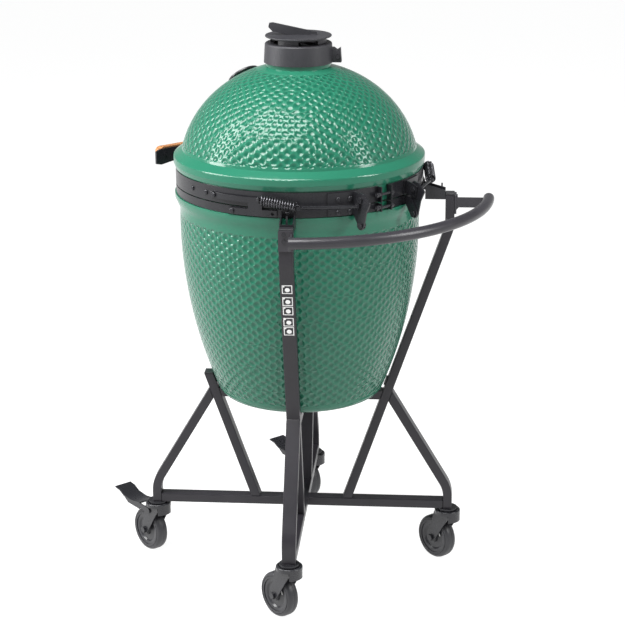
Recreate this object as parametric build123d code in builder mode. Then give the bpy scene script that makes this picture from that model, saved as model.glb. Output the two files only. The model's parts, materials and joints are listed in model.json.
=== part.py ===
"""Kamado ceramic grill in a four-caster stand, in millimetres, +Z up, hinge and push bar towards +Y.

The egg is drawn about its own vertical axis. The row's origin is on the floor, below the middle of the
whole outline, so every finished piece is moved along Y by SHIFT_Y when it is written.
"""
import os
from math import acos, asin, atan, cos, degrees, radians, sin, sqrt, tan

from build123d import *

os.makedirs("parts", exist_ok=True)

# ---------------------------------------------------------------- egg
PARTING_Z = 893.5  # middle of the joint between base and dome
SEAL_GAP = 3.2  # height between the two ceramic lips, filled by two gaskets
LIP_R = 266.0  # both lips, inside the bands
WALL = 24.0
RIM_R = LIP_R + 7.0  # widest ring of the dome
RIM_EDGE_R = LIP_R + 3.8  # its bottom edge
RIM_LOW = 37.5  # heights above the parting plane: bottom edge, widest ring, shoulder, foot of the ellipse
RIM_MID = 47.5
RIM_HIGH = 61.5
DOME_FOOT = 74.5
DOME_RX = LIP_R - 5.8  # the dome's outline is an ellipse
DOME_RZ = 231.9
DOME_CENTRE = 26.5  # height of the ellipse's centre above the parting plane
NECK_R = 69.5  # chimney neck
NECK_BORE_R = 50.0
NECK_TOP = 269.5  # above the parting plane
BEAD_R = LIP_R + 5.5  # smooth bead of the base, below its band
BEAD_FLAT = 9.0
BEAD_H = 33.5
BEAD_ROUND = 5.0
BASE_MAX_R = LIP_R - 4.4  # widest ring of the base's body
BASE_ARC_R = 988.7  # its outline is one long arc
BASE_ARC_DROP = 82.5  # widest ring below the parting plane
FOOT_ROUND = 26.0
FLOOR_T = 30.0  # ceramic floor
GASKET_W = 18.0
GASKET_INSET = 10.0
GASKET_GAP = 0.3

# ---------------------------------------------------------------- bands and hinge
BAND_T = 2.5
BAND_CLEAR = 0.3
UPPER_BAND_LOW = 1.2  # edges above the parting plane
UPPER_BAND_HIGH = 34.0
LOWER_BAND_LOW = -18.5
LOWER_BAND_HIGH = -1.2
BAND_SLOT = 26.0  # opening at the back, drawn together by a bolt
LUG_LONG = 15.0
BOLT_R = 3.0
BOLT_CLEAR = 0.3
HEAD_R = 5.5
HEAD_T = 3.4
FLANGE_T = 3.2
FLANGE_FROM = 62.0  # hinge flanges run along each band between these angles
FLANGE_TO = 76.0
FLANGE_BOLTS = (66.8, 72.3)
HINGE_BACK = 17.2  # pivot line of the dome, behind the bands
HINGE_UP = 17.5  # above the parting plane
HINGE_DOWN = 53.0  # lower bolt, below the pivot line
HINGE_X = 76.5  # middle of each side plate
PLATE_T = 3.2
PLATE_GAP = 0.4
PIN_R = 4.0
PIN_CLEAR = 0.06
PIN_HEAD_R = 6.5
PIN_HEAD_T = 4.0
EAR_GAP = 1.7  # between the two pairs of ears

# ---------------------------------------------------------------- side arms and springs
ARM_LIFT = 3.0  # gap between the bands and a side arm
SIDE_ARM_T = 2.5
SPRING_R = 11.5
SPRING_WIRE_R = 1.2
SPRING_FROM = 33.0  # angle and distance from the bands of its front end
SPRING_FROM_OUT = 16.7
SPRING_TO = 49.2
SPRING_TO_OUT = 18.2
SPRING_DROP = 15.0
ROD_R = 3.2
EYE_R = 6.0
EYE_BORE_R = 2.6

# ---------------------------------------------------------------- chimney cap
COLLAR_R = 74.5
COLLAR_TOP_R = 72.0
COLLAR_LOW = 258.5  # above the parting plane
COLLAR_H = 42.0
COLLAR_CLEAR = 0.6
VENT_R = 56.0  # fixed vent ring of the collar
VENT_T = 3.5
VENT_H = 12.0
VENT_CLEAR = 0.5
VENT_ARC = 44.0  # each of four windows, in degrees
CAP_R = 71.3
CAP_T = 3.5
FIN_H = 26.0
FIN_BACK = 62.0  # tall end of the fin, from the middle
FIN_NOSE = 40.0
FIN_T = 9.0
FIN_ANGLE = -40.0
SPINDLE_R = 4.0

# ---------------------------------------------------------------- handle and thermometer
GRIP_LONG = 236.0
GRIP_DEEP = 24.0
GRIP_H = 32.0
GRIP_MID = 12.5  # middle of the grip above the parting plane
HANDLE_OUT = 107.2  # front of the grip, from the bands
BACKING_LONG = 262.0
BACKING_H = 36.0
BACKING_T = 5.0
HANDLE_ARM_X = 62.0
HANDLE_ARM_T = 5.0
GRIP_SCREW_NEAR = 24.0  # from the middle
GRIP_SCREW_FAR = 106.0
THERMO_UP = 193.5  # where the stem meets the dome, above the parting plane
THERMO_R = 37.0
THERMO_BACK_R = 24.0
THERMO_FACE_R = 30.6
THERMO_DEEP = 15.3
DIAL_Z = 9.6  # above the dome
STEM_R = 3.0
STEM_LONG = 70.0
NEEDLE_LONG = 23.0
NEEDLE_PIN_R = 1.2
DIAL_T = 0.8
NEEDLE_T = 0.7
NEEDLE_GAP = 0.4
GLASS_T = 1.8

# ---------------------------------------------------------------- draft door
DOOR_DROP = 415.5  # middle of the door, below the parting plane
DOOR_W = 190.0
DOOR_H = 80.0
DOOR_HOLE_W = 84.0
DOOR_HOLE_H = 46.0
DOOR_TILT = 15.0
DOOR_T = 1.5
DOOR_PANEL_W = 96.0
BOSS_OUT = 10.0  # flat ceramic boss proud of the egg at the door's middle
SLIDE_CLEAR = 0.3

# ---------------------------------------------------------------- stand
TUBE_W = 30.0  # across the leg's plane
TUBE_D = 20.0
TUBE_WALL = 2.0
LEG_ANGLES = (45.0, 135.0, 225.0, 315.0)
REAR_LEGS = (45.0, 135.0)
STEM_Z = 132.0  # underside of the stand
LEG_IN = 70.45  # inner tube's axis at the egg cross, inside the lips
UPRIGHT_OUT = 59.7  # its upright's axis, outside the bands
CASTER_OUT = 4.5  # casters, outside the uprights
UPRIGHT_DROP = 27.5  # top of the rear uprights, below the parting plane
UPRIGHT_BEND = 74.4  # their bend, below their top
STAY_UP = 34.0  # top of the front stays, above the egg cross
APEX_DROP = 1.2  # inner and outer leg axes meet here, below the egg cross
OUTER_LEAN = 30.8
LEG_BEND = 45.0
LEG_TRIM = 20.0  # drawn past each end, then cut level
OUTER_BEND = 70.0
EGG_FOOT_DROP = 481.5  # top of the egg cross, below the parting plane
BUMPER_T = 3.6
BUMPER_UP = 12.8  # above the egg cross
BUMPER_H = 18.0
PLUG_CLEAR = 0.3
BAR_OUT = 83.5  # push bar's axis, outside the uprights
BAR_TUBE_R = 12.0
BAR_DROP = 7.0  # its axis, below the uprights' top
BAR_INSET = 1.7  # degrees from each leg's plane to the bar's end
ARM_H = 22.0
ARM_T = 4.0
ARM_SHIFT = 12.0  # bar arms towards the hinge, from the leg's plane
PAD_T = 4.0
PAD_W = 31.0
PAD_H = 43.0
SCREW_SHIFT = -4.0
SCREW_PITCH = 15.0
CLIP_T = 2.5
CLIP_FROM = 40.6
CLIP_TO = 60.0
PLUG_T = 2.5

# ---------------------------------------------------------------- casters
WHEEL_R = 50.0
WHEEL_W = 28.0
HUB_R = 37.0
TRAIL = 33.0
AXLE_R = 4.0
FORK_R = 29.0
FORK_H = 9.0
FORK_T = 2.6
FORK_GAP = 2.0
STEM_R_LOW = 5.0
RACE_R = 22.0
RACE_T = 4.6
SWIVEL_GAP = 0.5
PEDAL_REACH = 142.0
PEDAL_W = 44.0
PEDAL_T = 3.0

# ---------------------------------------------------------------- inside
FIRE_IN = 54.0  # its outer radius, inside the lips
FIRE_TAPER = 62.0
FIRE_WALL = 18.0
RING_DROP = 71.5  # top of the fire ring, below the parting plane
RING_H = 117.0
GRATE_IN = 38.0  # inside the fire box's foot
GRATE_T = 10.0
GRATE_UP = 103.0  # above the floor
GRID_IN = 48.0  # inside the lips
GRID_WIRE = 2.75
GRID_PITCH = 17.0

# ---------------------------------------------------------------- derived
DOME_LIP = PARTING_Z + SEAL_GAP / 2
BASE_LIP = PARTING_Z - SEAL_GAP / 2
BAND_IN = LIP_R + BAND_CLEAR
BAND_OUT = BAND_IN + BAND_T
HINGE_Y = BAND_OUT + HINGE_BACK
HANDLE_REACH = BAND_OUT + HANDLE_OUT
UPPER_LOW = PARTING_Z + UPPER_BAND_LOW
UPPER_HIGH = PARTING_Z + UPPER_BAND_HIGH
LOWER_LOW = PARTING_Z + LOWER_BAND_LOW
LOWER_HIGH = PARTING_Z + LOWER_BAND_HIGH
UPPER_MID = (UPPER_LOW + UPPER_HIGH) / 2
LOWER_MID = (LOWER_LOW + LOWER_HIGH) / 2
HINGE_Z = PARTING_Z + HINGE_UP
HINGE_LOW_Z = HINGE_Z - HINGE_DOWN
CROSS_TOP = STEM_Z + TUBE_D
EGG_CROSS_TOP = PARTING_Z - EGG_FOOT_DROP
APEX_Z = EGG_CROSS_TOP - APEX_DROP
STAY_TOP = EGG_CROSS_TOP + STAY_UP
UPRIGHT_TOP = PARTING_Z - UPRIGHT_DROP
UPRIGHT_R = BAND_OUT + UPRIGHT_OUT
CASTER_RING_R = UPRIGHT_R + CASTER_OUT
BAR_R = UPRIGHT_R + BAR_OUT
BAR_Z = UPRIGHT_TOP - BAR_DROP
LEAN = (UPRIGHT_R - LIP_R + LEG_IN) / (UPRIGHT_TOP - UPRIGHT_BEND - EGG_CROSS_TOP)
LEG_START_R = LIP_R - LEG_IN - LEAN * (EGG_CROSS_TOP - CROSS_TOP)
SPREAD = tan(radians(OUTER_LEAN))
FIRE_LOW = EGG_CROSS_TOP + FLOOR_T
FIRE_R = LIP_R - FIRE_IN
FIRE_FOOT_R = FIRE_R - FIRE_TAPER
RING_TOP = PARTING_Z - RING_DROP
FIRE_TOP = RING_TOP - RING_H
GRATE_R = FIRE_FOOT_R - GRATE_IN
GRATE_Z = FIRE_LOW + GRATE_UP
GRID_R = LIP_R - GRID_IN
SIDES = (-1, 1)

# Depth of the whole outline: the push bar at the back, the grip or the brake pedals at the front.
REAR = BAR_R + BAR_TUBE_R
FRONT = max(HANDLE_REACH, CASTER_RING_R * sin(radians(45)) + PEDAL_REACH)
SHIFT_Y = (FRONT - REAR) / 2


def save(part, label):
    """Move a finished piece into the row's frame, label it and write it."""
    piece = part.moved(Location((0, SHIFT_Y, 0)))
    piece.label = label
    export_step(piece, f"parts/{label}.step")


def ray_plane(angle, radius=0.0, z=0.0):
    """A vertical plane through a radius: local X outwards, local Y up."""
    a = radians(angle)
    place = (radius * cos(a), radius * sin(a), z)
    return Plane(origin=place, x_dir=(cos(a), sin(a), 0), z_dir=(sin(a), -cos(a), 0))


def facing_plane(angle, radius, z):
    """A plane that faces outwards at an angle about the egg's axis: local X along the ring, local Y up."""
    a = radians(angle)
    place = (radius * cos(a), radius * sin(a), z)
    return Plane(origin=place, x_dir=(-sin(a), cos(a), 0), z_dir=(cos(a), sin(a), 0))


def side_plane(x):
    """A plane across X: local X is the row's Y, local Y is up."""
    return Plane(origin=(x, 0, 0), x_dir=(0, 1, 0), z_dir=(1, 0, 0))


def dome_radius(z):
    """Outer radius of the dome's ellipse at a height."""
    t = (z - PARTING_Z - DOME_CENTRE) / DOME_RZ
    return DOME_RX * sqrt(1 - t * t)


def base_radius(z, inset=0.0):
    """Radius of the base's long arc at a height, or of the arc that lies inset within it."""
    t = z - (PARTING_Z - BASE_ARC_DROP)
    return BASE_MAX_R - BASE_ARC_R + sqrt((BASE_ARC_R - inset) ** 2 - t * t)


def ring_sector(r_in, r_out, start, stop):
    """A flat ring sector between two angles."""
    with BuildSketch() as sector:
        with BuildLine():
            near = CenterArc((0, 0), r_in, start, stop - start)
            far = CenterArc((0, 0), r_out, start, stop - start)
            Line(near @ 0, far @ 0)
            Line(near @ 1, far @ 1)
        make_face()
    return sector.sketch


def cylinder_between(start, end, radius):
    """A round bar between two points."""
    run = Vector(*end) - Vector(*start)
    with BuildPart() as bar:
        with BuildSketch(Plane(origin=start, z_dir=run)):
            Circle(radius)
        extrude(amount=run.length)
    return bar.part


def domed_bolt(plane, length):
    """A carriage bolt: a domed head on the plane and a shank behind it."""
    with BuildPart() as bolt:
        with BuildSketch(plane):
            Circle(HEAD_R)
        extrude(amount=HEAD_T)
        fillet(bolt.faces().sort_by(Axis(plane.origin, plane.z_dir))[-1].edges(), HEAD_T * 0.7)
        with BuildSketch(plane):
            Circle(BOLT_R)
        extrude(amount=-length)
    return bolt.part


# ================================================================ dome
with BuildPart() as dome:
    with BuildSketch(Plane.XZ):
        with BuildLine():
            middle = (0, PARTING_Z + DOME_CENTRE)
            foot_turn = degrees(asin((DOME_FOOT - DOME_CENTRE) / DOME_RZ))
            neck_turn = degrees(acos(NECK_R / DOME_RX))
            crown = EllipticalCenterArc(middle, DOME_RX, DOME_RZ, foot_turn, arc_size=neck_turn - foot_turn)
            bore_turn = degrees(acos(NECK_BORE_R / (DOME_RX - WALL)))
            vault = EllipticalCenterArc(middle, DOME_RX - WALL, DOME_RZ - WALL, 0, arc_size=bore_turn)
            Line(crown @ 1, (NECK_R, PARTING_Z + NECK_TOP))
            Line((NECK_R, PARTING_Z + NECK_TOP), (NECK_BORE_R, PARTING_Z + NECK_TOP))
            Line((NECK_BORE_R, PARTING_Z + NECK_TOP), vault @ 1)
            Polyline(vault @ 0, (DOME_RX - WALL, DOME_LIP), (LIP_R, DOME_LIP), (LIP_R, PARTING_Z + RIM_LOW))
            Line((LIP_R, PARTING_Z + RIM_LOW), (RIM_EDGE_R, PARTING_Z + RIM_LOW))
            Line((RIM_EDGE_R, PARTING_Z + RIM_LOW), (RIM_R, PARTING_Z + RIM_MID))
            Line((RIM_R, PARTING_Z + RIM_MID), (RIM_R, PARTING_Z + RIM_HIGH))
            Line((RIM_R, PARTING_Z + RIM_HIGH), crown @ 0)
        outline = make_face()
        shoulder = [(RIM_R, PARTING_Z + RIM_MID), (RIM_R, PARTING_Z + RIM_HIGH)]
        fillet([outline.vertices().sort_by_distance(spot)[0] for spot in shoulder], 5)
        fillet(outline.vertices().sort_by_distance((NECK_R, PARTING_Z + NECK_TOP))[0], 4)
    revolve(axis=Axis.Z)
    thermo_z = PARTING_Z + THERMO_UP
    thermo_r = dome_radius(thermo_z)
    steep = (thermo_z - PARTING_Z - DOME_CENTRE) / DOME_RZ**2
    flat = thermo_r / DOME_RX**2
    thermo_plane = Plane(origin=(0, -thermo_r, thermo_z), x_dir=(1, 0, 0), z_dir=(0, -flat, steep))
    with BuildSketch(thermo_plane.offset(WALL)):
        Circle(STEM_R + 3)
    extrude(amount=-3 * WALL, mode=Mode.SUBTRACT)
save(dome.part, "dome")

gasket_t = (SEAL_GAP - GASKET_GAP) / 2
gasket_out = LIP_R - GASKET_INSET
with BuildPart() as upper_gasket:
    with BuildSketch(Plane.XY.offset(DOME_LIP - gasket_t)):
        Circle(gasket_out)
        Circle(gasket_out - GASKET_W, mode=Mode.SUBTRACT)
    extrude(amount=gasket_t)
save(upper_gasket.part, "upper_gasket")

with BuildPart() as lower_gasket:
    with BuildSketch(Plane.XY.offset(BASE_LIP)):
        Circle(gasket_out)
        Circle(gasket_out - GASKET_W, mode=Mode.SUBTRACT)
    extrude(amount=gasket_t)
save(lower_gasket.part, "lower_gasket")

# ================================================================ base
door_z = PARTING_Z - DOOR_DROP
door_plane = Plane(
    origin=(0, -base_radius(door_z) - BOSS_OUT, door_z),
    x_dir=(1, 0, 0),
    z_dir=(0, -cos(radians(DOOR_TILT)), -sin(radians(DOOR_TILT))),
)
with BuildPart() as base:
    bead_low = LOWER_LOW - 1 - BEAD_H
    with BuildSketch(Plane.XZ):
        with BuildLine():
            heights = (EGG_CROSS_TOP, (EGG_CROSS_TOP + bead_low) / 2, bead_low)
            body = ThreePointArc(*[(base_radius(z), z) for z in heights])
            Polyline(body @ 0, (0, EGG_CROSS_TOP), (0, BASE_LIP), (LIP_R, BASE_LIP), (LIP_R, LOWER_LOW - 1))
            bead_top = LOWER_LOW - 1
            Polyline((LIP_R, bead_top), (BEAD_R, bead_top), (BEAD_R, bead_top - BEAD_FLAT), body @ 1)
        outline = make_face()
        fillet(outline.vertices().sort_by_distance(body @ 0)[0], FOOT_ROUND)
        fillet(outline.vertices().sort_by_distance((BEAD_R, bead_top))[0], BEAD_ROUND)
        fillet(outline.vertices().sort_by_distance((BEAD_R, bead_top - BEAD_FLAT))[0], 2 * BEAD_ROUND)
    revolve(axis=Axis.Z)
    with BuildSketch(door_plane):
        RectangleRounded(DOOR_W + 8, DOOR_H + 8, 12)
    extrude(amount=-3 * WALL)
    with BuildSketch(Plane.XZ):
        with BuildLine():
            inner_heights = (FIRE_LOW, (FIRE_LOW + bead_low) / 2, bead_low)
            cavity = ThreePointArc(*[(base_radius(z, WALL), z) for z in inner_heights])
            Polyline(cavity @ 0, (0, FIRE_LOW), (0, BASE_LIP), ((cavity @ 1).X, BASE_LIP), cavity @ 1)
        make_face()
    revolve(axis=Axis.Z, mode=Mode.SUBTRACT)
    with BuildSketch(door_plane):
        RectangleRounded(DOOR_HOLE_W, DOOR_HOLE_H, 10)
    extrude(amount=-4 * WALL, mode=Mode.SUBTRACT)
    for x in SIDES:
        for y in SIDES:
            with BuildSketch(door_plane):
                with Locations((x * (DOOR_W / 2 - 7), y * (DOOR_H / 2 - 7))):
                    Circle(2.2)
            extrude(amount=-14, mode=Mode.SUBTRACT)
save(base.part, "base")

# ================================================================ fire box, ring, grates
with BuildPart() as fire_box:
    with BuildSketch(Plane.XZ):
        with BuildLine():
            slope = (FIRE_R - FIRE_FOOT_R) / (FIRE_TOP - FIRE_LOW)
            ledge = GRATE_R + 2
            ledge_in = FIRE_FOOT_R + slope * (GRATE_Z - FIRE_LOW) - FIRE_WALL
            Polyline(
                (0, FIRE_LOW),
                (FIRE_FOOT_R, FIRE_LOW),
                (FIRE_R, FIRE_TOP),
                (FIRE_R - FIRE_WALL, FIRE_TOP),
                (ledge_in, GRATE_Z),
                (ledge - 10, GRATE_Z),
                (ledge - 10, FIRE_LOW + FIRE_WALL),
                (0, FIRE_LOW + FIRE_WALL),
                close=True,
            )
        make_face()
    revolve(axis=Axis.Z)
    with BuildSketch(Plane.XZ):
        with Locations((0, FIRE_LOW + FIRE_WALL + 30)):
            RectangleRounded(90, 46, 12)
    extrude(amount=FIRE_R, mode=Mode.SUBTRACT)
    for angle in range(30, 360, 60):
        with BuildSketch(facing_plane(angle, FIRE_R, GRATE_Z + 65)):
            Circle(8)
        extrude(amount=-60, mode=Mode.SUBTRACT)
save(fire_box.part, "fire_box")

with BuildPart() as fire_ring:
    with BuildSketch(Plane.XY.offset(FIRE_TOP)):
        Circle(FIRE_R + 10)
        Circle(FIRE_R - FIRE_WALL, mode=Mode.SUBTRACT)
    extrude(amount=RING_TOP - FIRE_TOP)
    fillet(fire_ring.faces().sort_by(Axis.Z)[-1].edges(), 4)
save(fire_ring.part, "fire_ring")

with BuildPart() as charcoal_grate:
    with BuildSketch(Plane.XY.offset(GRATE_Z)):
        Circle(GRATE_R)
        for row in range(-4, 5):
            y = row * 22.0
            with Locations((0, y)):
                SlotOverall(2 * sqrt((GRATE_R - 12) ** 2 - y * y), 11, mode=Mode.SUBTRACT)
    extrude(amount=GRATE_T)
save(charcoal_grate.part, "charcoal_grate")

grid_z = RING_TOP + GRID_WIRE
grid_rows = int(GRID_R // GRID_PITCH)
with BuildPart() as cooking_grid:
    with BuildSketch(Plane.XZ):
        with Locations((GRID_R, grid_z)):
            Circle(GRID_WIRE)
    revolve(axis=Axis.Z)
    for row in range(-grid_rows, grid_rows + 1):
        x = row * GRID_PITCH
        half = sqrt(GRID_R**2 - x * x)
        with BuildSketch(Plane(origin=(x, -half, grid_z + GRID_WIRE), z_dir=(0, 1, 0))):
            Circle(GRID_WIRE)
        extrude(amount=2 * half)
    for y in (-GRID_R / 2, GRID_R / 2):
        half = sqrt(GRID_R**2 - y * y)
        with BuildSketch(Plane(origin=(-half, y, grid_z), z_dir=(1, 0, 0))):
            Circle(GRID_WIRE * 0.9)
        extrude(amount=2 * half)
save(cooking_grid.part, "cooking_grid")


# ================================================================ bands
def band(low, high, bolt_angles):
    """A flat steel band, split at the back with two lugs, drilled for its carriage bolts."""
    height = high - low
    middle_z = (low + high) / 2
    with BuildPart() as strip:
        with BuildSketch(Plane.XY.offset(low)):
            Circle(BAND_OUT)
            Circle(BAND_IN, mode=Mode.SUBTRACT)
            with Locations((0, LIP_R)):
                Rectangle(BAND_SLOT, LUG_LONG, mode=Mode.SUBTRACT)
            for side in SIDES:
                with Locations((side * (BAND_SLOT + BAND_T) / 2, BAND_IN + LUG_LONG / 2)):
                    Rectangle(BAND_T, LUG_LONG)
        extrude(amount=height)
        with BuildSketch(side_plane(-BAND_SLOT)):
            with Locations((BAND_OUT + LUG_LONG / 2, middle_z)):
                Circle(BOLT_R + BOLT_CLEAR)
        extrude(amount=2 * BAND_SLOT, mode=Mode.SUBTRACT)
        for angle in bolt_angles:
            with BuildSketch(facing_plane(angle, BAND_OUT, middle_z)):
                Circle(BOLT_R + BOLT_CLEAR)
            extrude(amount=BAND_T, both=True, mode=Mode.SUBTRACT)
    return strip.part


def mirrored(angles):
    """The same angles on both sides of the YZ plane."""
    return [a for angle in angles for a in (angle, 180 - angle)]


def mirrored_x(places):
    """The same distances on both sides of the YZ plane."""
    return [side * x for x in places for side in SIDES]


def clamp_bolt(middle_z):
    """The tightening bolt across a band's two lugs, with its nuts."""
    y = BAND_OUT + LUG_LONG / 2
    half = BAND_SLOT / 2 + BAND_T
    with BuildPart() as bolt:
        with BuildSketch(side_plane(-half - 8)):
            with Locations((y, middle_z)):
                Circle(BOLT_R)
        extrude(amount=2 * half + 22)
        for x in (-half - 5, half, half + 6):
            with BuildSketch(side_plane(x)):
                with Locations((y, middle_z)):
                    RegularPolygon(HEAD_R, 6)
            extrude(amount=5)
    return bolt.part


handle_bolts = mirrored([-degrees(acos(x / BAND_OUT)) for x in (HANDLE_ARM_X - 14, HANDLE_ARM_X - 26)])
latch_bolts = mirrored([-6.9, 3.3])
stud_angle = 9.4
upper_bolt_angles = mirrored(FLANGE_BOLTS) + handle_bolts + latch_bolts
lower_bolt_angles = mirrored(FLANGE_BOLTS + (19.1, 44.6)) + [270.0]
upper_band = band(UPPER_LOW, UPPER_HIGH, upper_bolt_angles + mirrored([stud_angle]))
save(upper_band, "upper_band")
lower_band = band(LOWER_LOW, LOWER_HIGH, lower_bolt_angles)
save(lower_band, "lower_band")

arm_in = BAND_OUT + ARM_LIFT
arm_out = arm_in + SIDE_ARM_T
seat = 0.06
with BuildPart() as upper_band_bolts:
    add(clamp_bolt(UPPER_MID))
    for angle in mirrored(FLANGE_BOLTS) + handle_bolts:
        add(domed_bolt(facing_plane(angle, BAND_OUT + FLANGE_T + seat, UPPER_MID), BAND_T + FLANGE_T))
    for angle in latch_bolts:
        add(domed_bolt(facing_plane(angle, BAND_OUT + seat, UPPER_MID), BAND_T))
    for angle in mirrored([stud_angle]):
        add(domed_bolt(facing_plane(angle, arm_out + 1, UPPER_MID), arm_out + 1 - BAND_IN))
save(upper_band_bolts.part, "upper_band_bolts")

with BuildPart() as lower_band_bolts:
    add(clamp_bolt(LOWER_MID))
    for angle in mirrored(FLANGE_BOLTS):
        add(domed_bolt(facing_plane(angle, BAND_OUT + FLANGE_T + seat, LOWER_MID), BAND_T + FLANGE_T))
    for angle in mirrored([19.1]):
        add(domed_bolt(facing_plane(angle, arm_out + seat, LOWER_MID), arm_out - BAND_IN))
    for angle in mirrored([44.6]):
        add(domed_bolt(facing_plane(angle, BAND_OUT + CLIP_T + seat, LOWER_MID), BAND_T + CLIP_T))
    add(domed_bolt(facing_plane(270, BAND_OUT + seat, LOWER_MID), BAND_T))
save(lower_band_bolts.part, "lower_band_bolts")


# ================================================================ hinge
def ear_root(x):
    """Y of an ear's inner edge, inside the curved flange that carries it."""
    return sqrt((BAND_OUT + FLANGE_T / 2) ** 2 - x * x)


def flange(low, high, middle_z):
    """A curved flange on each side of a band, with its two bolt holes."""
    with BuildPart() as part:
        for start in (FLANGE_FROM, 180 - FLANGE_TO):
            with BuildSketch(Plane.XY.offset(low)):
                add(ring_sector(BAND_OUT, BAND_OUT + FLANGE_T, start, start + FLANGE_TO - FLANGE_FROM))
            extrude(amount=high - low)
        for angle in mirrored(FLANGE_BOLTS):
            with BuildSketch(facing_plane(angle, BAND_OUT, middle_z)):
                Circle(BOLT_R + BOLT_CLEAR)
            extrude(amount=2 * FLANGE_T, both=True, mode=Mode.SUBTRACT)
    return part.part


ear_x = HINGE_X - PLATE_T / 2 - PLATE_GAP - PLATE_T
ear_low = LOWER_HIGH - 1 + EAR_GAP
with BuildPart() as dome_hinge_ears:
    add(flange(UPPER_LOW + 1, UPPER_HIGH - 2.5, UPPER_MID))
    root = ear_root(ear_x + PLATE_T / 2)
    for side in SIDES:
        with BuildSketch(side_plane(side * (ear_x + PLATE_T / 2))):
            Polygon(
                (root, UPPER_LOW + 1),
                (root, UPPER_HIGH - 2.5),
                (HINGE_Y - 3, HINGE_Z + 11),
                (HINGE_Y + 9, HINGE_Z + 6),
                (HINGE_Y + 9, HINGE_Z - 6),
                (HINGE_Y + 3, ear_low),
                (HINGE_Y - 9, ear_low),
                (HINGE_Y - 12, HINGE_Z - 12),
                align=None,
            )
            with Locations((HINGE_Y, HINGE_Z)):
                Circle(PIN_R + PIN_CLEAR, mode=Mode.SUBTRACT)
        extrude(amount=PLATE_T / 2, both=True)
save(dome_hinge_ears.part, "dome_hinge_ears")

base_ear_x = HINGE_X - PLATE_T / 2 - PLATE_T
with BuildPart() as base_hinge_ears:
    add(flange(LOWER_LOW + 1, LOWER_HIGH - 1, LOWER_MID))
    root = ear_root(base_ear_x + PLATE_T / 2)
    for side in SIDES:
        with BuildSketch(side_plane(side * (base_ear_x + PLATE_T / 2))):
            Polygon(
                (root, LOWER_LOW + 1),
                (root, LOWER_HIGH - 1),
                (HINGE_Y - 8, LOWER_HIGH - 1),
                (HINGE_Y + 9, HINGE_LOW_Z + 6),
                (HINGE_Y + 9, HINGE_LOW_Z - 5),
                (HINGE_Y + 3, HINGE_LOW_Z - 9),
                (HINGE_Y - 7, HINGE_LOW_Z - 9),
                align=None,
            )
            with Locations((HINGE_Y, HINGE_LOW_Z)):
                Circle(PIN_R + PIN_CLEAR, mode=Mode.SUBTRACT)
        extrude(amount=PLATE_T / 2, both=True)
save(base_hinge_ears.part, "base_hinge_ears")

with BuildPart() as hinge_side_plates:
    for side in SIDES:
        with BuildSketch(side_plane(side * HINGE_X)):
            plate = Polygon(
                (HINGE_Y - 13, HINGE_Z - 8),
                (HINGE_Y - 12, HINGE_Z + 8),
                (HINGE_Y - 4, HINGE_Z + 15),
                (HINGE_Y + 9, HINGE_Z + 14),
                (HINGE_Y + 29, HINGE_Z - 2),
                (HINGE_Y + 17, HINGE_Z - 24),
                (HINGE_Y + 10, HINGE_LOW_Z),
                (HINGE_Y + 4, HINGE_LOW_Z - 10),
                (HINGE_Y - 6, HINGE_LOW_Z - 10),
                (HINGE_Y - 10, HINGE_LOW_Z),
                (HINGE_Y - 5, HINGE_Z - 30),
                align=None,
            )
            fillet(plate.vertices(), 4)
            with Locations((HINGE_Y, HINGE_Z), (HINGE_Y, HINGE_LOW_Z)):
                Circle(PIN_R + PIN_CLEAR, mode=Mode.SUBTRACT)
        extrude(amount=PLATE_T / 2, both=True)
save(hinge_side_plates.part, "hinge_side_plates")


def hinge_bolt(side, z, inner, outer):
    """A pin across a side plate, with a round head outside and a nut inside."""
    with BuildPart() as bolt:
        with BuildSketch(side_plane(side * inner)):
            with Locations((HINGE_Y, z)):
                Circle(PIN_R)
        extrude(amount=side * (outer - inner))
        with BuildSketch(side_plane(side * outer)):
            with Locations((HINGE_Y, z)):
                Circle(PIN_HEAD_R)
        extrude(amount=side * PIN_HEAD_T)
        with BuildSketch(side_plane(side * inner)):
            with Locations((HINGE_Y, z)):
                RegularPolygon(PIN_HEAD_R, 6)
        extrude(amount=-side * PIN_HEAD_T)
    return bolt.part


with BuildPart() as hinge_bolts:
    for side in SIDES:
        add(hinge_bolt(side, HINGE_Z, ear_x - PLATE_GAP, HINGE_X + PLATE_T / 2))
        add(hinge_bolt(side, HINGE_LOW_Z, base_ear_x, HINGE_X + PLATE_T / 2))
save(hinge_bolts.part, "hinge_bolts")

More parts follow.
